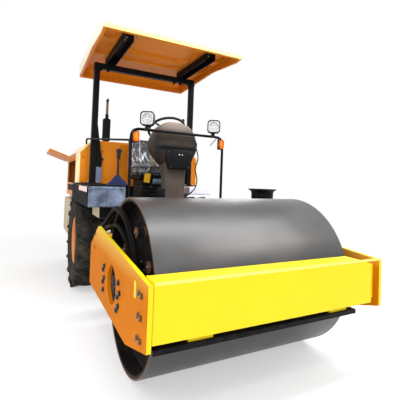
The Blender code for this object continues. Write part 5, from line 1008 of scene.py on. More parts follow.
# hood: front corners, chamfers and edge strips in cream as painted light on its sunlit faces, seals, bolts, lid seams
# and filler cap
hood_low, hood_high = local_box("hood")
HOOD_FACE, HOOD_BACK, HOOD_BASE = hood_high.x, hood_low.x, hood_low.z
HOOD_SIDE = 0.810  # the side sheet: the hood's box also holds the hinge ears
SHOULDER, TOP_HALF = 1.580, 0.660
DOOR_X, DOOR_Z = (-3.320, -2.430), (1.175, 1.500)
SLOPE = math.atan2(HOOD_TOP - SHOULDER, HOOD_SIDE - TOP_HALF)
for side_name, side in SIDES:
    run = math.hypot(HOOD_TOP - SHOULDER, HOOD_SIDE - TOP_HALF)
    # chamfer sheet, side corner and front edge strip in cream: painted light on the hood's sunlit faces
    sheet_top = block("chamfer", (HOOD_BACK + 0.012, HOOD_FACE - 0.004), (-run / 2 + 0.003, run / 2 - 0.003), (0.0, 0.0016),
                      bevel=0.0006, segments=1)
    middle = Matrix.Translation((0.0, side * (HOOD_SIDE + TOP_HALF) / 2, (HOOD_TOP + SHOULDER) / 2))
    moved(sheet_top, middle @ Matrix.Rotation(-side * SLOPE, 4, "X"))
    front_side = prism("corner", "Y", sorted((side * (HOOD_SIDE - 0.001), side * (HOOD_SIDE + 0.0014))), [
        (HOOD_FACE - 0.003, SHOULDER - 0.002), (DOOR_X[1] + 0.020, SHOULDER - 0.002), (DOOR_X[1] + 0.020, HOOD_BASE + 0.150),
        (HOOD_FACE - 0.003, HOOD_BASE + 0.172)], bevel=0.0005, segments=1)
    edge_strip = prism("edge", "X", (HOOD_FACE - 0.001, HOOD_FACE + 0.0018), [
        (side * (HOOD_SIDE - 0.016), HOOD_BASE + 0.172), (side * HOOD_SIDE, HOOD_BASE + 0.172), (side * HOOD_SIDE, SHOULDER),
        (side * TOP_HALF, HOOD_TOP), (side * (TOP_HALF - 0.006), HOOD_TOP - 0.010), (side * (HOOD_SIDE - 0.016), SHOULDER - 0.006)])
    keep(joined("hood_corner_painted_light_" + side_name, [sheet_top, front_side, edge_strip]), "hood_cream_painted_sunlit", "rear_frame",
         angle=30.0)
    rim = []
    y_span = sorted((side * (HOOD_SIDE - 0.004), side * (HOOD_SIDE + 0.0020)))
    for x, z in (((DOOR_X[0] + 0.012, DOOR_X[1] - 0.012), (DOOR_Z[0] + 0.014, DOOR_Z[0] + 0.022)),
                 ((DOOR_X[0] + 0.012, DOOR_X[1] - 0.012), (DOOR_Z[1] - 0.022, DOOR_Z[1] - 0.014)),
                 ((DOOR_X[0] + 0.012, DOOR_X[0] + 0.020), (DOOR_Z[0] + 0.014, DOOR_Z[1] - 0.014)),
                 ((DOOR_X[1] - 0.020, DOOR_X[1] - 0.012), (DOOR_Z[0] + 0.014, DOOR_Z[1] - 0.014))):
        rim.append(block("seal", x, y_span, z, bevel=0.0015, segments=2))
    keep(joined("door_seal_" + side_name, rim), "seal_black", "rear_frame", angle=40.0)
face_bolts = [hex_bolt("X", (HOOD_FACE, side * y, z), r, 0.006, 1.0, turn=z)
              for y, z, r in ((0.530, 1.597, 0.008), (0.525, 1.500, 0.012), (0.473, 1.254, 0.006), (0.760, 1.205, 0.007),
                              (0.760, 1.520, 0.007)) for side in (-1.0, 1.0)]
keep(joined("hood_bolts", face_bolts), "bolt_black", "rear_frame", angle=25.0)
seams = []
for x in (-2.300, -2.760, -3.220):
    seams.append(block("seam", (x - 0.002, x + 0.002), (-TOP_HALF + 0.004, TOP_HALF - 0.004), (HOOD_TOP - 0.002, HOOD_TOP + 0.0010)))
for side in (-1.0, 1.0):
    seams.append(block("seam", (-3.430, -2.140), sorted((side * 0.646, side * 0.650)), (HOOD_TOP - 0.002, HOOD_TOP + 0.0010)))
    seams.append(block("seam", (HOOD_FACE - 0.001, HOOD_FACE + 0.0010), sorted((side * 0.300, side * 0.303)), (1.190, 1.690)))
seams.append(block("seam", (HOOD_FACE - 0.001, HOOD_FACE + 0.0010), (-0.300, 0.300), (1.687, 1.690)))
seams.append(block("seam", (HOOD_FACE - 0.001, HOOD_FACE + 0.0010), (-0.300, 0.300), (1.190, 1.193)))
keep(joined("hood_seams", seams), "seal_black", "rear_frame", angle=30.0)
latches = []
for x in (-2.420, -3.100):
    for side in (-1.0, 1.0):
        latches.append(lathe("latch", "Z", (x, side * 0.600), [
            (0.0, HOOD_TOP + 0.004), (0.010, HOOD_TOP + 0.004), (0.0115, HOOD_TOP + 0.0075), (0.0145, HOOD_TOP + 0.0080),
            (0.0160, HOOD_TOP + 0.0060), (0.0165, HOOD_TOP)], steps=32))
        latches.append(block("slot", (x - 0.008, x + 0.008), (side * 0.600 - 0.0018, side * 0.600 + 0.0018),
                             (HOOD_TOP + 0.003, HOOD_TOP + 0.0085), bevel=0.0006, segments=1))
keep(joined("hood_latches", latches), "zinc", "rear_frame", angle=35.0)
filler = lathe("fuel_cap", "Z", (-2.980, 0.420), [
    (0.0, HOOD_TOP + 0.030), (0.022, HOOD_TOP + 0.030), (0.030, HOOD_TOP + 0.027), (0.034, HOOD_TOP + 0.020),
    (0.034, HOOD_TOP + 0.008), (0.040, HOOD_TOP + 0.006), (0.044, HOOD_TOP + 0.002), (0.044, HOOD_TOP)], steps=40)
grips = [filler]
for k in range(10):
    angle = 2 * math.pi * k / 10
    rib = block("rib", (0.032, 0.0365), (-0.003, 0.003), (HOOD_TOP + 0.009, HOOD_TOP + 0.025), bevel=0.001, segments=1)
    grips.append(moved(rib, Matrix.Translation((-2.980, 0.420, 0.0)) @ Matrix.Rotation(angle, 4, "Z")))
keep(joined("fuel_cap", grips), "soft_black", "rear_frame", angle=35.0)

# doors: pressed stiffeners inside and a latch, turned with each door
for side_name, side in SIDES:
    inner = HOOD_SIDE + 0.006
    ribs = []
    for x0, x1, z0, z1 in ((-3.300, -2.450, 1.184, 1.214), (-3.300, -2.450, 1.440, 1.470), (-3.300, -3.270, 1.214, 1.440),
                           (-2.480, -2.450, 1.214, 1.440), (-2.905, -2.845, 1.214, 1.440)):
        ribs.append(block("rib", (x0, x1), sorted((side * (inner - 0.0035), side * (inner + 0.002))), (z0, z1), bevel=0.003, segments=2))
    panel = joined("door_ribs_" + side_name, ribs)
    outer = inner + 0.0215
    lock = [lathe("lock", "Y", (-2.875, 1.225), [
        (0.0, side * (outer + 0.004)), (0.012, side * (outer + 0.004)), (0.016, side * (outer + 0.003)), (0.022, side * (outer - 0.001)),
        (0.022, side * (outer - 0.006)), (0.0, side * (outer - 0.006))], steps=32)]
    lock.append(block("key", (-2.885, -2.865), sorted((side * (outer + 0.003), side * (outer + 0.0075))), (1.2225, 1.2275),
                      bevel=0.001, segments=1))
    lock.append(block("tongue", (-2.889, -2.861), sorted((side * (inner - 0.009), side * (inner - 0.003))), (1.200, 1.236),
                      bevel=0.0015, segments=1))
    lock = joined("door_lock_" + side_name, lock)
    if side < 0:
        hinge = Matrix.Translation((0.0, side * 0.826, 1.500))
        swing = hinge @ Matrix.Rotation(math.radians(side * 110.0), 4, "X") @ hinge.inverted()
        moved(panel, swing)
        moved(lock, swing)
    keep(panel, "hood_orange_painted_shade", "door_" + side_name, angle=35.0)
    keep(lock, "zinc", "door_" + side_name, angle=35.0)


def loft(name, corner, levels, smooth=2):
    """A column of rounded rectangles: (height, x span, y span) from the bottom up, then subdivided."""
    def middle(level):
        return Vector((sum(level[1]) / 2, sum(level[2]) / 2, level[0]))

    bpy.ops.mesh.primitive_plane_add(size=1.0, location=(0.0, 0.0, 0.0))
    obj = named(name)
    edit(obj)
    first = levels[0]
    size = Vector((first[1][1] - first[1][0], first[2][1] - first[2][0]))
    bpy.ops.transform.resize(value=(size.x, size.y, 1.0), center_override=(0.0, 0.0, 0.0))
    bpy.ops.transform.translate(value=middle(first))
    bpy.ops.mesh.bevel(offset=corner * min(size), segments=2, affect="VERTICES")
    bpy.ops.mesh.select_all(action="SELECT")
    for before, after in zip(levels, levels[1:]):
        bpy.ops.mesh.extrude_region_move(TRANSFORM_OT_translate={"value": middle(after) - middle(before)})
        ratio = [(after[i][1] - after[i][0]) / (before[i][1] - before[i][0]) for i in (1, 2)]
        bpy.ops.transform.resize(value=(ratio[0], ratio[1], 1.0), center_override=middle(after))
    bpy.ops.mesh.select_all(action="SELECT")
    bpy.ops.mesh.normals_make_consistent(inside=False)
    done()
    if smooth:
        modifier = obj.modifiers.new("Smooth", "SUBSURF")
        modifier.levels = modifier.render_levels = smooth
        only(obj)
        bpy.ops.object.modifier_apply(modifier=modifier.name)
    return obj


# steering console: column, body with its visor band, dome, black service panel
FLOOR = local_box("console")[0].z
NOSE = local_box("console")[1].x


def around(front_in, rear_in, half, z, shift=0.0):
    return (FLOOR + z, (NOSE - rear_in, NOSE - front_in), (-half + shift, half + shift))


column = loft("console_column", 0.16, [
    around(0.034, 0.202, 0.128, 0.000), around(0.034, 0.202, 0.128, 0.006), around(0.038, 0.194, 0.120, 0.030),
    around(0.042, 0.184, 0.113, 0.060), around(0.044, 0.186, 0.112, 0.180), around(0.045, 0.189, 0.113, 0.300),
    around(0.038, 0.215, 0.128, 0.372), around(0.030, 0.240, 0.152, 0.410), around(0.034, 0.238, 0.150, 0.412)])
keep(column, "column_brown", "rear_frame", angle=40.0, node="console")
upper = loft("console_body", 0.22, [
    around(0.036, 0.236, 0.148, 0.398), around(0.030, 0.242, 0.153, 0.400), around(0.021, 0.284, 0.196, 0.458),
    around(0.006, 0.326, 0.235, 0.530), around(0.000, 0.342, 0.249, 0.590), around(0.002, 0.342, 0.249, 0.638),
    around(0.003, 0.341, 0.248, 0.642), around(0.012, 0.332, 0.240, 0.643)])
keep(upper, "console_brown", "rear_frame", angle=40.0)
dome = loft("console_dome", 0.26, [
    around(0.012, 0.332, 0.240, 0.640), around(0.004, 0.339, 0.246, 0.642), around(0.003, 0.339, 0.246, 0.648),
    around(0.008, 0.332, 0.240, 0.676), around(0.022, 0.302, 0.218, 0.738), around(0.044, 0.262, 0.184, 0.788),
    around(0.074, 0.214, 0.128, 0.828), around(0.104, 0.180, 0.070, 0.844), around(0.128, 0.156, 0.020, 0.848)])
keep(dome, "dome_brown", "rear_frame", angle=40.0)
visor = loft("console_visor", 0.20, [
    around(-0.006, 0.100, 0.205, 0.556), around(-0.007, 0.100, 0.207, 0.558), around(-0.0075, 0.100, 0.208, 0.582),
    around(-0.006, 0.100, 0.206, 0.584)], smooth=0)
edit(visor)
bpy.ops.mesh.bevel(offset=0.004, segments=2, affect="EDGES")
done()
keep(visor, "panel_black", "rear_frame", angle=40.0)
panel = prism("console_panel", "X", (NOSE - 0.060, NOSE + 0.0035), [
    (-0.092, FLOOR + 0.350), (0.132, FLOOR + 0.350), (0.168, FLOOR + 0.470), (0.168, FLOOR + 0.556), (-0.128, FLOOR + 0.556),
    (-0.128, FLOOR + 0.470)], bevel=0.010, segments=3)
keep(panel, "panel_black", "rear_frame", angle=35.0)
panel_lamps, screws = [], []
for y, z, row in ((0.013, 1.528, panel_lamps), (0.045, 1.528, panel_lamps), (-0.105, 1.550, screws), (0.146, 1.550, screws), (0.118, 1.400, screws),
                  (-0.078, 1.400, screws)):
    row.append(lathe("screw", "X", (y, z), [
        (0.0, NOSE + 0.0062), (0.0035, NOSE + 0.0060), (0.0060, NOSE + 0.0050), (0.0070, NOSE + 0.0036), (0.0070, NOSE + 0.0020),
        (0.0, NOSE + 0.0020)], steps=20))
    row.append(block("cross", (NOSE + 0.0050, NOSE + 0.0064), (y - 0.0035, y + 0.0035), (z - 0.0006, z + 0.0006)))
keep(joined("console_screws", screws), "bolt_black", "rear_frame", angle=35.0)
keep(joined("console_lamps", panel_lamps), "zinc", "rear_frame", angle=35.0)

# dash on the driver's side: sloping board with dials and switches
DASH = Matrix.Translation((NOSE - 0.300, 0.0, FLOOR + 0.712)) @ Matrix.Rotation(math.radians(-52.0), 4, "Y")
board = block("dash_board", (-0.085, 0.085), (-0.180, 0.180), (-0.014, 0.006), bevel=0.006, segments=3)
keep(moved(board, DASH), "panel_black", "rear_frame", angle=35.0)
bezels, faces, needles = [], [], []
for x, y, r in ((0.020, 0.0, 0.040), (0.024, -0.096, 0.029), (0.024, 0.096, 0.029)):
    bezels.append(moved(lathe("bezel", "Z", (x, y), [
        (r - 0.005, 0.006), (r - 0.004, 0.0115), (r - 0.001, 0.0125), (r, 0.0110), (r + 0.001, 0.006)], steps=40, loop=True), DASH))
    faces.append(moved(lathe("face", "Z", (x, y), [(0.0, 0.0076), (r - 0.0045, 0.0076), (r - 0.0045, 0.0060), (0.0, 0.0060)],
                             steps=36), DASH))
    for k in range(9):
        a = math.radians(-30.0 + 30.0 * k)
        tick = block("tick", (r * 0.66, r * 0.82), (-0.0006, 0.0006), (0.0076, 0.0080))
        needles.append(moved(tick, DASH @ Matrix.Translation((x, y, 0.0)) @ Matrix.Rotation(a, 4, "Z")))
    hand = block("hand", (-0.004, r * 0.62), (-0.0009, 0.0009), (0.0082, 0.0090), bevel=0.0003, segments=1)
    needles.append(moved(hand, DASH @ Matrix.Translation((x, y, 0.0)) @ Matrix.Rotation(math.radians(60.0), 4, "Z")))
keep(joined("dash_bezels", bezels), "mirror_bowl", "rear_frame", angle=40.0)
keep(joined("dash_faces", faces), "gauge_white", "rear_frame", angle=35.0)
keep(joined("dash_needles", needles), "seal_black", "rear_frame", angle=35.0)
rockers = []
for k in range(7):
    rocker = block("rocker", (-0.060, -0.032), (-0.126 + 0.042 * k - 0.013, -0.126 + 0.042 * k + 0.013), (0.004, 0.0105), bevel=0.003)
    rockers.append(moved(rocker, DASH))
keep(joined("dash_switches", rockers), "soft_black", "rear_frame", angle=35.0)
keep(pipe("console_cable", flowing([
    (-1.040, 0.206, 1.655), (-1.050, 0.262, 1.630), (-1.050, 0.293, 1.510), (-1.050, 0.262, 1.400), (-1.050, 0.290, 1.280),
    (-1.052, 0.262, 1.180), (-1.060, 0.175, 1.105), (-1.060, 0.100, 1.100)], 6), 0.0062, rings=3, smooth=False),
    "hose_black", "rear_frame", angle=50.0)
junction = block("column_box", (-1.030, -0.965), (-0.168, -0.108), (FLOOR + 0.020, FLOOR + 0.150), bevel=0.006, segments=3)
keep(junction, "panel_black", "rear_frame", angle=35.0)

# steering wheel: padded rim, three spokes, hub with its cap, knob on a post
STEER = Matrix.Translation((-1.270, 0.0, 1.832)) @ Matrix.Rotation(math.radians(-30.0), 4, "Y")
bpy.ops.mesh.primitive_torus_add(major_radius=0.200, minor_radius=0.0138, major_segments=84, minor_segments=16)
rim = named("wheel_rim")
edit(rim)
bpy.ops.mesh.select_all(action="DESELECT")
done()
for vertex in rim.data.vertices:
    inward = math.hypot(vertex.co.x, vertex.co.y) < 0.200
    slot_at = (math.atan2(vertex.co.y, vertex.co.x) / (2 * math.pi) * 42) % 1.0
    vertex.select = inward and slot_at < 0.45
bpy.ops.object.mode_set(mode="EDIT")
bpy.ops.transform.resize(value=(1.009, 1.009, 0.90), center_override=(0.0, 0.0, 0.0))
done()
pieces = [rim]
for k in range(3):
    spoke = block("spoke", (0.028, 0.198), (-0.013, 0.013), (-0.0125, -0.0025), bevel=0.003, segments=2)
    edit(spoke)
    bpy.ops.mesh.select_all(action="DESELECT")
    done()
    for vertex in spoke.data.vertices:
        vertex.select = vertex.co.x > 0.15
    bpy.ops.object.mode_set(mode="EDIT")
    bpy.ops.transform.resize(value=(1.0, 0.72, 0.85), center_override=(0.19, 0.0, -0.0075))
    done()
    pieces.append(moved(spoke, Matrix.Rotation(2 * math.pi * k / 3 + math.pi, 4, "Z")))
pieces.append(lathe("hub", "Z", (0.0, 0.0), [
    (0.0, 0.0130), (0.020, 0.0125), (0.030, 0.0100), (0.0320, 0.0085), (0.0335, 0.0100), (0.0400, 0.0075), (0.0430, 0.0010),
    (0.0420, -0.0300), (0.0360, -0.0400), (0.0165, -0.0420), (0.0165, -0.1700), (0.0, -0.1700)], steps=48))
knob_x, knob_y = 0.200 * math.cos(0.9), 0.200 * math.sin(0.9)
pieces.append(lathe("knob", "Z", (knob_x, knob_y), [
    (0.0, 0.0660), (0.008, 0.0650), (0.0150, 0.0610), (0.0190, 0.0540), (0.0200, 0.0480), (0.0180, 0.0410), (0.0130, 0.0360),
    (0.0085, 0.0345), (0.0085, 0.0140), (0.0130, 0.0120), (0.0130, 0.0060), (0.0, 0.0060)], steps=36))
wheel = moved(joined("steering_wheel_fine", pieces), STEER)
keep(wheel, "soft_black", "steering_wheel", angle=40.0, node="steering_wheel")
gaiter = moved(lathe("column_gaiter", "Z", (0.0, 0.0), [
    (0.024, -0.0500), (0.030, -0.0560), (0.026, -0.0630), (0.033, -0.0700), (0.029, -0.0780), (0.037, -0.0860), (0.033, -0.0940),
    (0.042, -0.1030), (0.038, -0.1120), (0.050, -0.1240), (0.060, -0.1400), (0.060, -0.1600), (0.020, -0.1600)], steps=40, loop=True), STEER)
keep(gaiter, "hose_black", "rear_frame", angle=50.0)

# seat: foam pads swollen by a short cloth run, with sewn channels, in a crinkled clear wrap
def swollen(obj, cap):
    """Blows the pad up from inside; no point goes further than the cap."""
    scene = bpy.context.scene
    at_rest = [vertex.co.copy() for vertex in obj.data.vertices]
    modifier = obj.modifiers.new("Swell", "CLOTH")
    modifier.settings.use_pressure = True
    modifier.settings.uniform_pressure_force = 4.0
    modifier.settings.effector_weights.gravity = 0.0
    modifier.point_cache.frame_start, modifier.point_cache.frame_end = 1, 20
    for frame_number in range(1, 21):
        scene.frame_set(frame_number)
    evaluated = obj.evaluated_get(bpy.context.evaluated_depsgraph_get())
    swelled = [vertex.co.copy() for vertex in evaluated.data.vertices]
    obj.modifiers.remove(modifier)
    scene.frame_set(1)
    for vertex, start, end in zip(obj.data.vertices, at_rest, swelled):
        step = end - start
        vertex.co = start + (step * (cap / step.length) if step.length > cap else step)


def remeshed(obj, size):
    modifier = obj.modifiers.new("Even", "REMESH")
    modifier.mode = "VOXEL"
    modifier.voxel_size = size
    only(obj)
    bpy.ops.object.modifier_apply(modifier=modifier.name)
    return obj


def pad(name, x, y, z, cap, channels, crown):
    """A cushion along X and Y (or standing in Y and Z) with channels pressed into its crowned face."""
    obj = remeshed(block(name, (x[0] + 0.007, x[1] - 0.007), (y[0] + 0.007, y[1] - 0.007), (z[0] + 0.004, z[1] - 0.007),
                         bevel=0.030, segments=4), 0.006)
    swollen(obj, cap)
    middle = Vector((sum(x) / 2, sum(y) / 2, sum(z) / 2))
    for vertex in obj.data.vertices:
        co = vertex.co
        facing = (co.z - middle.z) if crown == "Z" else (co.x - middle.x)
        if facing > 0.0:
            for axis, value, low, high, depth in channels:
                across = co.x if axis == "X" else co.y if axis == "Y" else co.z
                along = co.y if axis != "Y" else (co.x if crown == "Z" else co.z)
                if low <= along <= high and abs(across - value) < 0.016:
                    press = depth * (1.0 - abs(across - value) / 0.016) ** 1.5
                    if crown == "Z":
                        co.z -= press
                    else:
                        co.x -= press
        if crown == "Z":
            co.z = max(co.z, z[0])
    modifier = obj.modifiers.new("Fine", "SUBSURF")
    modifier.levels = modifier.render_levels = 1
    only(obj)
    bpy.ops.object.modifier_apply(modifier=modifier.name)
    return obj


def film_over(name, source, low, lift, depth, seed):
    """A loose clear bag over a pad, open at the bottom, with sharp creases."""
    film = remeshed(copied(source, name), 0.013)
    edit(film)
    bpy.ops.mesh.select_all(action="DESELECT")
    done()
    for face in film.data.polygons:
        face.select = face.center.z < low
    bpy.ops.object.mode_set(mode="EDIT")
    bpy.ops.mesh.delete(type="FACE")
    done()
    outward = [vertex.normal.copy() for vertex in film.data.vertices]
    for vertex, normal in zip(film.data.vertices, outward):
        co = vertex.co
        wave = noise.noise(Vector((co.x * 9.0 + seed, co.y * 11.0, co.z * 5.0)))
        fold = noise.noise(Vector((co.x * 24.0, co.y * 26.0 + seed, co.z * 15.0)))
        vertex.co = co + normal * (lift + depth * (1.0 - abs(wave) * 2.4) + depth * 0.55 * fold)
    return film


seat_low, seat_high = local_box("seat_cushion")
SEAT_X, SEAT_HALF, SEAT_Z = (seat_low.x, seat_high.x), seat_high.y, (seat_low.z, seat_high.z)
cushion = pad("seat_cushion_pad", SEAT_X, (-SEAT_HALF, SEAT_HALF), SEAT_Z, 0.012, (
    ("Y", -0.165, SEAT_X[0] + 0.03, SEAT_X[1] - 0.05, 0.010), ("Y", 0.165, SEAT_X[0] + 0.03, SEAT_X[1] - 0.05, 0.010),
    ("X", SEAT_X[1] - 0.060, -0.20, 0.20, 0.008), ("X", -1.640, -0.165, 0.165, 0.006), ("X", -1.740, -0.165, 0.165, 0.006),
    ("X", -1.540, -0.165, 0.165, 0.006)), "Z")
back_low, back_high = local_box("seat_back")
BACK_X = (SEAT_X[0] - 0.117, SEAT_X[0] - 0.0055)
BACK_Z = (1.332, 1.795)
backrest = pad("seat_back_pad", BACK_X, (-SEAT_HALF + 0.010, SEAT_HALF - 0.010), BACK_Z, 0.010, (
    ("Y", -0.160, BACK_Z[0] + 0.04, BACK_Z[1] - 0.05, 0.010), ("Y", 0.160, BACK_Z[0] + 0.04, BACK_Z[1] - 0.05, 0.010),
    ("Z", 1.440, -0.160, 0.160, 0.006), ("Z", 1.540, -0.160, 0.160, 0.006), ("Z", 1.640, -0.160, 0.160, 0.006),
    ("Z", 1.735, -0.20, 0.20, 0.008)), "X")
LEAN = Matrix.Translation((SEAT_X[0], 0.0, 1.410)) @ Matrix.Rotation(math.radians(-7.0), 4, "Y") @ Matrix.Translation((-SEAT_X[0], 0.0, -1.410))
moved(backrest, LEAN)
cushion_film = film_over("seat_cushion_film", cushion, SEAT_Z[0] + 0.012, 0.004, 0.007, 3.1)
back_film = film_over("seat_back_film", backrest, BACK_Z[0] + 0.050, 0.004, 0.008, 8.7)
for film, pad_piece, flat in ((cushion_film, cushion, (0.80, 0.70)), (back_film, backrest, (1.26, 0.52))):
    keep(film, "wrap_film", "rear_frame", angle=16.0)
keep(cushion, "seat_vinyl", "rear_frame", angle=60.0, node="seat_cushion")
keep(backrest, "seat_vinyl", "rear_frame", angle=60.0, node="seat_back")
piping = []
for z in (SEAT_Z[1] - 0.026, SEAT_Z[0] + 0.030):
    r = 0.036
    x0, x1, y1 = SEAT_X[0] + 0.004, SEAT_X[1] - 0.002, SEAT_HALF - 0.002
    loop = []
    for cx, cy, start in ((x1 - r, y1 - r, 0.0), (x0 + r, y1 - r, 90.0), (x0 + r, -y1 + r, 180.0), (x1 - r, -y1 + r, 270.0)):
        loop += [(cx + r * math.cos(math.radians(start + 18 * k)), cy + r * math.sin(math.radians(start + 18 * k)), z)
                 for k in range(6)]
    piping.append(pipe("piping", loop + [loop[0]], 0.0042, rings=2, smooth=False))
keep(joined("seat_piping", piping), "soft_black", "rear_frame", angle=60.0)

# seat stand: slide rails, height knob, canister, tag and a roll of tape left on the seat
stand = []
for y in (-0.180, 0.180):
    stand.append(prism("rail", "X", (SEAT_X[0] + 0.012, SEAT_X[1] - 0.012), [
        (y - 0.018, SEAT_Z[0] - 0.030), (y + 0.018, SEAT_Z[0] - 0.030), (y + 0.018, SEAT_Z[0] - 0.020), (y + 0.008, SEAT_Z[0] - 0.020),
        (y + 0.008, SEAT_Z[0] - 0.006), (y - 0.008, SEAT_Z[0] - 0.006), (y - 0.008, SEAT_Z[0] - 0.020), (y - 0.018, SEAT_Z[0] - 0.020)],
        bevel=0.001, segments=1))
for k in range(4):
    z = 1.085 + 0.042 * k
    stand.append(block("fold", (-1.825, -1.435), (-0.205, 0.205), (z, z + 0.020), bevel=0.0095, segments=3))
keep(joined("seat_stand", stand), "soft_black", "rear_frame", angle=40.0)
knob = lathe("seat_knob", "X", (-0.110, 1.180), [
    (0.0, -1.398), (0.016, -1.398), (0.021, -1.402), (0.022, -1.412), (0.019, -1.420), (0.010, -1.424), (0.010, -1.436), (0.0, -1.436)], steps=32)
keep(knob, "soft_black", "rear_frame", angle=40.0)
can = lathe("seat_canister", "Y", (-1.400, 1.247), [
    (0.0, -0.092), (0.026, -0.092), (0.032, -0.088), (0.034, -0.082), (0.034, -0.070), (0.0325, -0.068), (0.0325, -0.016),
    (0.034, -0.014), (0.034, -0.002), (0.031, 0.006), (0.022, 0.009), (0.0, 0.009)], steps=40)
keep(can, "can_teal", "rear_frame", angle=40.0)
tag = block("seat_tag", (-1.389, -1.3875), (-0.193, -0.124), (1.232, 1.338), bevel=0.0006, segments=1)
keep(moved(tag, Matrix.Translation((-1.386, -0.16, 1.328)) @ Matrix.Rotation(math.radians(-8.0), 4, "X") @ Matrix.Translation((1.386, 0.16, -1.328))),
     "tag_yellow", "rear_frame", angle=35.0)
tape_roll = lathe("tape_roll", "X", (-0.076, SEAT_Z[1] + 0.048), [
    (0.0290, -1.4150), (0.0300, -1.4140), (0.0455, -1.4140), (0.0465, -1.4150), (0.0465, -1.4400), (0.0455, -1.4410),
    (0.0300, -1.4410), (0.0290, -1.4400)], steps=56, loop=True)
keep(tape_roll, "tape_tan", "rear_frame", angle=35.0)

# travel lever: folded boot, bent stick and a moulded grip
LEVER = (-1.100, -0.562)


def boot_level(height, half):
    return (BOX_TOP + height, (LEVER[0] - half * 0.92, LEVER[0] + half * 0.92), (LEVER[1] - half, LEVER[1] + half))


boot = loft("lever_boot_fine", 0.24, [boot_level(h, w) for h, w in (
    (0.0005, 0.104), (0.0060, 0.106), (0.0130, 0.104), (0.0170, 0.092), (0.0230, 0.096), (0.0330, 0.088), (0.0380, 0.073),
    (0.0450, 0.076), (0.0540, 0.066), (0.0590, 0.052), (0.0670, 0.054), (0.0750, 0.046), (0.0800, 0.035), (0.0880, 0.036),
    (0.0960, 0.027), (0.1040, 0.018), (0.1120, 0.0145))])
keep(boot, "boot_blue", "rear_frame", angle=50.0, node="lever_boot")
stick = [pipe("stick", [(LEVER[0], LEVER[1], BOX_TOP + 0.100), (LEVER[0], LEVER[1], BOX_TOP + 0.180),
                        (LEVER[0] - 0.004, LEVER[1] + 0.003, BOX_TOP + 0.300)], 0.0105, rings=3)]
stick.append(loft("grip", 0.28, [(BOX_TOP + h, (LEVER[0] - 0.004 - a, LEVER[0] - 0.004 + a), (LEVER[1] + 0.003 - b, LEVER[1] + 0.003 + b))
                                 for h, a, b in ((0.268, 0.011, 0.012), (0.272, 0.016, 0.017), (0.290, 0.0175, 0.019),
                                                 (0.318, 0.0165, 0.0185), (0.338, 0.019, 0.024), (0.352, 0.0205, 0.027),
                                                 (0.366, 0.018, 0.025), (0.3705, 0.008, 0.012))]))
stick.append(peg("button", "Y", (LEVER[0] + 0.004, LEVER[1] + 0.030, BOX_TOP + 0.346), 0.0065, 0.008, sides=20, bevel=0.0015))
keep(joined("travel_lever_fine", stick), "soft_black", "rear_frame", angle=45.0, node="travel_lever")

# control box: rubber top, lid joint, reflecting tape; the foot box under it
box_low, box_high = local_box("control_box")
top_mat = block("box_mat", (box_low.x + 0.004, box_high.x - 0.003), (box_low.y + 0.003, box_high.y - 0.003), (BOX_TOP - 0.0005, BOX_TOP + 0.0100),
                bevel=0.004, segments=2)
keep(top_mat, "seal_black", "rear_frame", angle=40.0)
seams = [block("seam", (box_high.x - 0.0012, box_high.x + 0.0008), (box_low.y + 0.012, box_high.y - 0.012), (BOX_TOP - 0.030, BOX_TOP - 0.0275)),
         block("seam", (box_high.x - 0.0012, box_high.x + 0.0008), (-0.7015, -0.6990), (1.012, BOX_TOP - 0.030))]
keep(joined("box_seams", seams), "seal_black", "rear_frame", angle=30.0)
apron = block("box_apron", (box_low.x + 0.006, box_high.x - 0.004), (box_low.y - 0.0022, box_low.y + 0.0005), (BOX_TOP - 0.190, BOX_TOP - 0.004),
              bevel=0.0008, segments=1)
keep(apron, "seal_black", "rear_frame", angle=30.0)
for tone, slot_name, first in (("reflector_pink", "signal_orange", 0), ("gauge_white", "grey_paint", 1)):
    strips = [block("tape", (-1.500 + 0.070 * k, -1.4325 + 0.070 * k), (box_low.y - 0.0030, box_low.y - 0.0018), (1.132, 1.180), bevel=0.0004, segments=1)
              for k in range(first, 8, 2)]
    keep(joined("reflecting_tape_" + tone.split("_")[1], strips), tone, "rear_frame", angle=30.0)
# the foot box is dark: its side in sand beige is painted light where the sun falls, its front black
painted_sunlit_side = block("foot_box_side_painted_sunlit", (-1.383, -1.002), (-0.7412, -0.7398), (0.888, 0.998), bevel=0.0005, segments=1)
keep(painted_sunlit_side, "sand_beige", "rear_frame", angle=30.0)
foot_front = block("foot_box_front", (-1.0005, -0.9988), (-0.737, -0.613), (0.888, 0.998), bevel=0.0005, segments=1)
keep(foot_front, "panel_black", "rear_frame", angle=30.0)
side_low, side_high = local_box("side_box_left")
lid = block("side_box_lid", (side_low.x + 0.012, side_high.x - 0.012), (side_low.y + 0.012, side_high.y - 0.012), (side_high.z - 0.001, side_high.z + 0.0035),
            bevel=0.0015, segments=2)
keep(lid, "pale_lavender", "rear_frame", angle=35.0)

# platform: ribbed rubber mat, grated step, pedal pad
deck_top = local_box("deck")[1].z
matting = [block("mat", (-2.090, -0.890), (-0.515, 0.515), (deck_top - 0.0005, deck_top + 0.0045), bevel=0.0015, segments=1)]
for k in range(33):
    y = -0.496 + 0.031 * k
    matting.append(block("rib", (-2.075, -0.905), (y - 0.006, y + 0.006), (deck_top + 0.004, deck_top + 0.0070), bevel=0.0012, segments=1))
keep(joined("deck_mat", matting), "seal_black", "rear_frame", angle=35.0)
treads = []
for k in range(6):
    x = -1.345 + 0.025 * k
    treads.append(block("bar", (x - 0.003, x + 0.003), (0.505, 0.612), (0.7650, 0.7730), bevel=0.001, segments=1))
keep(joined("step_treads", treads), "frame_black", "rear_frame", angle=35.0)
pedal_place = Matrix.Translation((-1.185, -0.245, deck_top + 0.082)) @ Matrix.Rotation(math.radians(22.0), 4, "Y")
pedal = [block("pad", (-0.043, 0.043), (-0.043, 0.043), (0.007, 0.0125), bevel=0.003, segments=2)]
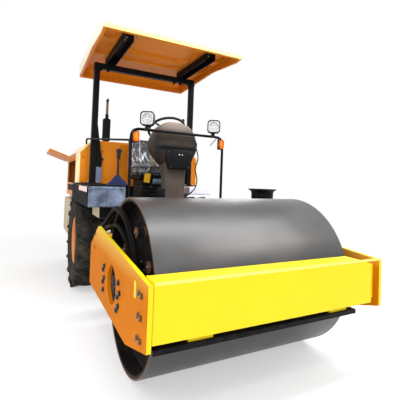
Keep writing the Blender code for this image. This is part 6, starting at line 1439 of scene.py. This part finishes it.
for k in range(6):
    pedal.append(block("rib", (-0.036 + 0.0144 * k - 0.003, -0.036 + 0.0144 * k + 0.003), (-0.038, 0.038), (0.012, 0.0150), bevel=0.001, segments=1))
keep(moved(joined("pedal_pad", pedal), pedal_place), "seal_black", "rear_frame", angle=35.0)

# front hoop: flanged feet with bolts, and the short aerial rod at its left corner
hoop_low, hoop_high = local_box("light_hoop")
HOOP = ((hoop_low.x + hoop_high.x) / 2, hoop_high.y - 0.0165)
feet = []
for side in (-1.0, 1.0):
    feet.append(block("flange", (HOOP[0] - 0.045, HOOP[0] + 0.012), (side * HOOP[1] - 0.034, side * HOOP[1] + 0.034), (deck_top + 0.0005, deck_top + 0.009),
                      bevel=0.003, segments=2))
    feet.append(lathe("collar", "Z", (HOOP[0], side * HOOP[1]), [
        (0.0160, deck_top + 0.008), (0.0260, deck_top + 0.008), (0.0240, deck_top + 0.013), (0.0180, deck_top + 0.018), (0.0160, deck_top + 0.018)],
        steps=32, loop=True))
keep(joined("hoop_feet", feet), "frame_black", "rear_frame", angle=35.0)
keep(joined("hoop_bolts", [hex_bolt("Z", (HOOP[0] - 0.033, side * HOOP[1] + dy, deck_top + 0.009), 0.0065, 0.006, 1.0)
                           for side in (-1.0, 1.0) for dy in (-0.022, 0.022)]), "zinc", "rear_frame", angle=25.0)
keep(pipe("aerial", [(-0.887, 0.428, 1.733), (-0.877, 0.383, 1.690), (-0.868, 0.342, 1.648)], 0.0042, rings=2), "frame_black",
     "rear_frame", angle=50.0)

# yoke: the plates' front and top edge faces in the beam's brighter yellow as painted light on the faces turned to the
# light, weld beads, hanger and scraper bolts
BEAM_LOW, BEAM_HIGH = local_box("front_beam")
PLATE_EDGE = [(-0.553, 0.874), (YOKE_FRONT, 0.775), (YOKE_FRONT, 0.467)]
for side_name, side in SIDES:
    strips = []
    for (x0, z0), (x1, z1) in zip(PLATE_EDGE, PLATE_EDGE[1:]):
        reach = math.hypot(x1 - x0, z1 - z0)
        strip = block("strip", (0.0015, reach - 0.0015), sorted((side * (PLATE_IN + 0.0010), side * (PLATE_OUT - 0.0010))), (-0.0004, 0.0012),
                      bevel=0.0005, segments=1)
        turn_by = Matrix.Rotation(-math.atan2(z1 - z0, x1 - x0), 4, "Y")
        strips.append(moved(strip, Matrix.Translation((x0, 0.0, z0)) @ turn_by))
    keep(joined("plate_edge_painted_light_" + side_name, strips), "beam_yellow", "front_frame", angle=30.0)
beads = []
for x in (YOKE_FRONT - 0.012, YOKE_FRONT - 0.108):
    beads.append(pipe("bead", [(x, -PLATE_IN + 0.004, z) for z in (0.505, 0.600, 0.700, 0.782)], 0.0048, rings=2, smooth=False))
beads.append(pipe("bead", [(x, -PLATE_IN + 0.004, 0.789) for x in (YOKE_FRONT - 0.112, YOKE_FRONT - 0.060, YOKE_FRONT - 0.010)], 0.0050,
                  rings=2, smooth=False))
for y0, y1 in ((-0.600, -0.459), (0.376, 0.522)):
    beads.append(pipe("bead", [(YOKE_FRONT - 0.028, y, 0.4975) for y in (y0, (y0 + y1) / 2, y1)], 0.0040, rings=2, smooth=False))
for bead in beads:
    for vertex in bead.data.vertices:
        vertex.co += Vector((0.0, 0.0, 0.0008 * math.sin(vertex.co.y * 900.0))) + Vector((0.0007 * math.sin(vertex.co.z * 800.0), 0.0, 0.0))
# a pale strip along the beam's top front edge: a painted highlight where the rounded edge catches the light
painted_shine = block("beam_edge_painted_highlight", (YOKE_FRONT - 0.0008, YOKE_FRONT + 0.0009), (-PLATE_IN + 0.008, BEAM_HIGH.y - 0.004), (0.7720, 0.7885), bevel=0.0007,
              segments=2)
keep(painted_shine, "beam_painted_highlight", "front_frame", angle=50.0)
keep(joined("beam_beads", beads), "beam_yellow", "front_frame", angle=40.0)
scraper_low, scraper_high = local_box("scraper")
scraper_bolts = [hex_bolt("Z", (YOKE_FRONT - 0.065, y, scraper_low.z + 0.0142), 0.0095, 0.008, -1.0, turn=y)
                 for y in (-0.565, -0.495, 0.410, 0.488)]
keep(joined("scraper_bolts", scraper_bolts), "bolt_black", "front_frame", angle=25.0)
lip_rubber = prism("scraper_edge", "Y", (scraper_low.y + 0.002, scraper_high.y - 0.002), [
    (scraper_high.x - 0.013, scraper_low.z - 0.002), (scraper_high.x + 0.0010, scraper_low.z - 0.002),
    (scraper_high.x + 0.0010, scraper_high.z - 0.002), (scraper_high.x - 0.004, scraper_high.z + 0.001),
    (scraper_high.x - 0.013, scraper_high.z + 0.001)], bevel=0.001, segments=1)
keep(lip_rubber, "frame_black", "front_frame", angle=35.0)

# filler cup: flared rim, inner wall, neck with a hose clip, strap bolts
cup_low, cup_high = local_box("filler_cup")
CUP = (-0.557, cup_high.y - 0.146)
cup = lathe("filler_cup_fine", "Z", CUP, [
    (0.0, cup_high.z - 0.112), (0.090, cup_high.z - 0.112), (0.096, cup_high.z - 0.106), (0.101, cup_high.z - 0.030),
    (0.108, cup_high.z - 0.014), (0.122, cup_high.z - 0.004), (0.136, cup_high.z - 0.0005), (0.1435, cup_high.z - 0.002),
    (0.1455, cup_high.z - 0.005), (0.143, cup_high.z - 0.009), (0.126, cup_high.z - 0.018), (0.113, cup_high.z - 0.034),
    (0.1105, cup_high.z - 0.060), (0.1120, cup_high.z - 0.066), (0.1105, cup_high.z - 0.072), (0.108, 1.000), (0.100, 0.990),
    (0.060, 0.981), (0.036, 0.975), (0.031, 0.968), (0.031, 0.9305), (0.0, 0.9305)], steps=72)
strap = block("strap", (CUP[0] - 0.034, CUP[0] + 0.034), (PLATE_IN - 0.0215, PLATE_IN - 0.001), (0.702, 0.984), bevel=0.003,
              segments=2)
keep(joined("filler_cup_fine", [cup, strap]), "frame_black", "front_frame", angle=35.0, node="filler_cup")
clip = [lathe("clip", "Z", CUP, [(0.0312, 0.936), (0.0330, 0.936), (0.0330, 0.947), (0.0312, 0.947)], steps=40, loop=True)]
clip.append(peg("clip_screw", "X", (CUP[0], CUP[1] - 0.037, 0.9415), 0.0045, 0.026, sides=16, bevel=0.001, segments=1))
clip += [hex_bolt("Y", (CUP[0] + dx, PLATE_IN - 0.0215, z), 0.009, 0.007, -1.0) for dx in (-0.018, 0.018) for z in (0.725, 0.800)]
keep(joined("filler_cup_clip", clip), "zinc", "front_frame", angle=30.0)

# drum carriers: motor case and its cover bolts
for side_name, side in SIDES:
    outer = PLATE_IN - 0.001
    motor = lathe("hub_motor_" + side_name, "Y", (0.0, DRUM_R), [(r, side * y) for r, y in (
        (0.0, outer + 0.0150), (0.030, outer + 0.0145), (0.048, outer + 0.0110), (0.060, outer + 0.0040), (0.066, outer - 0.0040),
        (0.070, outer - 0.0200), (0.0835, outer - 0.0200), (0.0835, outer - 0.0250), (0.0, outer - 0.0250))], steps=48)
    keep(motor, "carrier_black", "front_frame", angle=35.0)
    cover_bolts = [(0.052 * math.cos(2 * math.pi * k / 6), side * (outer + 0.0095), DRUM_R + 0.052 * math.sin(2 * math.pi * k / 6)) for k in range(6)]
    # the cover bolts are black like the case, so the plate's hole reads dark: painted shade
    bolts("hub_motor_bolts_" + side_name, "Y", cover_bolts, 0.0065, 0.006, side, "bolt_black", "front_frame", washer=False)

# cross beam and centre joint: bearing ring with its bolts, pin plate, cylinder gland and ports
rear_low, rear_high = local_box("rear_beam")
HITCH = (-1.080, 0.595)
ring_x = rear_high.x
bolts("bearing_bolts", "X", [(ring_x, 0.118 * math.cos(a), HITCH[1] + 0.118 * math.sin(a)) for a in (2 * math.pi * k / 10 for k in range(10))],
      0.0090, 0.008, 1.0, "bolt_black", "front_frame")
keep(lathe("bearing_cover", "X", (0.0, HITCH[1]), [
    (0.064, ring_x - 0.002), (0.064, ring_x + 0.010), (0.072, ring_x + 0.013), (0.094, ring_x + 0.013), (0.100, ring_x + 0.008), (0.100, ring_x - 0.002)],
    steps=56, loop=True), "cast_black", "front_frame", angle=35.0)
keep(joined("pin_plate", [
    lathe("cap", "Z", (HITCH[0], 0.0), [(0.0, 0.7785), (0.020, 0.7785), (0.026, 0.7755), (0.026, 0.7725), (0.0, 0.7725)], steps=36),
    hex_bolt("Z", (HITCH[0], 0.0, 0.7785), 0.010, 0.008, 1.0)]), "bolt_black", "rear_frame", angle=30.0)
barrel_low, barrel_high = local_box("cylinder_barrel")
gland = lathe("gland", "X", (0.215, HITCH[1]), [
    (0.0190, barrel_high.x - 0.001), (0.0190, barrel_high.x + 0.0035), (0.0260, barrel_high.x + 0.0035), (0.0290, barrel_high.x + 0.001), (0.0290, barrel_high.x - 0.001)],
    steps=40, loop=True)
ports = [gland]
for x in (barrel_low.x + 0.110, barrel_high.x - 0.060):
    ports.append(lathe("port", "Z", (x, 0.215), [
        (0.0, HITCH[1] + 0.052), (0.009, HITCH[1] + 0.052), (0.011, HITCH[1] + 0.049), (0.011, HITCH[1] + 0.040), (0.014, HITCH[1] + 0.039),
        (0.014, HITCH[1] + 0.030), (0.0, HITCH[1] + 0.030)], steps=24))
keep(joined("cylinder_ports", ports), "zinc", "cylinder_barrel", angle=30.0)

# chassis: rail bolts, brake lines on the axle
rail_bolts = [hex_bolt("Y", (x, side * 0.400, z), 0.0095, 0.008, side, turn=x) for side in (-1.0, 1.0) for x in (-1.780, -1.860, -2.050, -2.130)
              for z in (0.700, 0.890)]
keep(joined("rail_bolts", rail_bolts), "bolt_black", "rear_frame", angle=25.0)
lines = [pipe("brake_line", flowing([(AXLE[0] + 0.030, side * y, AXLE[1] + z) for y, z in (
    (0.06, 0.135), (0.15, 0.105), (0.25, 0.086), (0.40, 0.084), (0.47, 0.100), (0.49, 0.118))], 5), 0.0040, rings=2, smooth=False) for side in (-1.0, 1.0)]
keep(joined("brake_lines", lines), "zinc", "rear_frame", angle=50.0)

# engine bay: rocker cover, air cleaner, radiator, pulleys, alternator, manifold and pipes on the plain block
eng_low, eng_high = local_box("engine")
EX0, EX1, ET = eng_low.x, eng_high.x, eng_high.z
engine = []
rocker = block("rocker_cover", (EX0 + 0.090, EX1 - 0.120), (-0.105, 0.105), (ET - 0.004, ET + 0.066), bevel=0.018, segments=3)
engine.append(rocker)
for k in range(5):
    x = EX0 + 0.140 + 0.105 * k
    engine.append(block("rib", (x - 0.004, x + 0.004), (-0.096, 0.096), (ET + 0.064, ET + 0.070), bevel=0.0015, segments=1))
for side in (-1.0, 1.0):
    engine.append(block("flange", (EX0 + 0.060, EX1 - 0.090), sorted((side * 0.098, side * 0.128)), (ET - 0.003, ET + 0.010), bevel=0.003, segments=1))
    for k in range(4):
        x = EX0 + 0.150 + 0.155 * k
        engine.append(block("fin", (x - 0.050, x + 0.050), sorted((side * 0.252, side * 0.262)), (0.900, 1.300), bevel=0.004, segments=1))
for k in range(9):
    z = 0.960 + 0.040 * k
    engine.append(block("fin", (EX0 + 0.090, EX1 - 0.110), (-0.2610, -0.2530), (z, z + 0.010), bevel=0.002, segments=1))
keep(joined("engine_dressing", engine), "engine_grey", "rear_frame", angle=35.0)
filter_case = lathe("air_cleaner", "X", (-0.390, 1.300), [
    (0.0, -3.120), (0.052, -3.120), (0.064, -3.112), (0.070, -3.100), (0.070, -3.060), (0.073, -3.056), (0.073, -3.046), (0.070, -3.042),
    (0.070, -2.800), (0.066, -2.788), (0.040, -2.780), (0.034, -2.770), (0.034, -2.740), (0.0, -2.740)], steps=56)
keep(filter_case, "soft_black", "rear_frame", angle=35.0)
keep(pipe("intake_hose", flowing([(-2.745, -0.390, 1.300), (-2.700, -0.390, 1.305), (-2.660, -0.350, 1.360), (-2.650, -0.240, 1.440), (-2.680, -0.150, 1.470),
                                  (-2.730, -0.100, 1.480)], 6), 0.030, rings=4, smooth=False), "hose_black", "rear_frame", angle=50.0)
radiator = [block("radiator", (-3.395, -3.335), (-0.330, 0.330), (0.830, 1.480), bevel=0.006)]
for k in range(30):
    z = 0.870 + 0.0195 * k
    radiator.append(block("fin", (-3.3352, -3.3300), (-0.300, 0.300), (z, z + 0.0075)))
radiator.append(lathe("cap", "Z", (-3.365, 0.220), [(0.0, 1.506), (0.018, 1.506), (0.022, 1.500), (0.022, 1.488), (0.018, 1.480), (0.0, 1.480)], steps=28))
keep(joined("radiator", radiator), "sooty_black", "rear_frame", angle=35.0)
fan = [lathe("fan_hub", "X", (0.0, 1.120), [(0.0, -3.312), (0.045, -3.312), (0.050, -3.306), (0.050, -3.274), (0.020, -3.270), (0.020, EX0), (0.0, EX0)], steps=36)]
for k in range(6):
    blade = block("blade", (-0.003, 0.003), (-0.038, 0.038), (0.045, 0.230), bevel=0.002, segments=1)
    turned_blade = Matrix.Translation((-3.292, 0.0, 1.120)) @ Matrix.Rotation(2 * math.pi * k / 6, 4, "X") @ Matrix.Rotation(math.radians(28.0), 4, "Z")
    fan.append(moved(blade, turned_blade))
keep(joined("fan", fan), "soft_black", "rear_frame", angle=35.0)
alternator = lathe("alternator", "X", (-0.300, 1.020), [
    (0.0, -3.180), (0.040, -3.180), (0.055, -3.172), (0.060, -3.160), (0.060, -3.080), (0.055, -3.068), (0.022, -3.064), (0.022, -3.050), (0.0, -3.050)], steps=40)
keep(alternator, "zinc", "rear_frame", angle=35.0)
pipes = []
for k in range(4):
    x = EX1 - 0.170 - 0.140 * k
    pipes.append(pipe("runner", flowing([(x, 0.108, ET + 0.020), (x, 0.160, ET + 0.030), (x, 0.205, ET + 0.005), (x, 0.235, ET - 0.050)], 5), 0.017,
                      rings=3, smooth=False))
pipes.append(pipe("manifold", [(EX1 - 0.140, 0.255, ET - 0.070), (EX0 + 0.130, 0.255, ET - 0.070)], 0.030, rings=4, smooth=False))
pipes.append(pipe("down_pipe", flowing([(EX1 - 0.140, 0.255, ET - 0.070), (EX1 - 0.040, 0.200, ET - 0.020), (EX1 + 0.060, -0.080, ET + 0.080),
                                        (EX, EY + 0.180, ET + 0.160), (EX, EY, ET + 0.220), (EX, EY, HOOD_TOP - 0.010)], 6), 0.022, rings=4, smooth=False))
keep(joined("exhaust_manifold", pipes), "rusty_pipe", "rear_frame", angle=50.0)

# counterweight: bolts, tail lamps, lifting eyes, towing pin
weight_low, weight_high = local_box("counterweight")
bolts("weight_bolts", "X", [(weight_low.x, y, z) for y in (-0.660, -0.560, 0.560, 0.660) for z in (0.560, 0.830)], 0.0190, 0.014, -1.0, "bolt_black",
      "rear_frame")
for side_name, side in SIDES:
    lamp_case = block("tail_case_" + side_name, (weight_low.x - 0.016, weight_low.x + 0.001), sorted((side * 0.680, side * 0.800)), (0.862, 0.926), bevel=0.004)
    keep(lamp_case, "soft_black", "rear_frame", angle=35.0)
    glass = block("tail_lamp_" + side_name, (weight_low.x - 0.023, weight_low.x - 0.014), sorted((side * 0.686, side * 0.794)), (0.868, 0.920), bevel=0.004,
                  segments=3)
    keep(glass, "tail_red", "rear_frame", angle=35.0)
    eye = lathe("lifting_eye_" + side_name, "Y", (weight_low.x + 0.110, weight_high.z + 0.022), [
        (0.0160, side * 0.740 - 0.008), (0.0160, side * 0.740 + 0.008), (0.0300, side * 0.740 + 0.008), (0.0320, side * 0.740 + 0.005),
        (0.0320, side * 0.740 - 0.005), (0.0300, side * 0.740 - 0.008)], steps=36, loop=True)
    keep(eye, "sand_beige", "rear_frame", angle=35.0)
tow = [block("tow_plate", (weight_low.x - 0.040, weight_low.x + 0.001), (-0.080, 0.080), (z, z + 0.016), bevel=0.003) for z in (0.600, 0.664)]
tow.append(lathe("tow_pin", "Z", (weight_low.x - 0.022, 0.0), [
    (0.0, 0.706), (0.016, 0.706), (0.020, 0.700), (0.020, 0.690), (0.0130, 0.686), (0.0130, 0.590), (0.0, 0.586)], steps=32))
keep(joined("tow_hitch", tow), "frame_black", "rear_frame", angle=35.0)
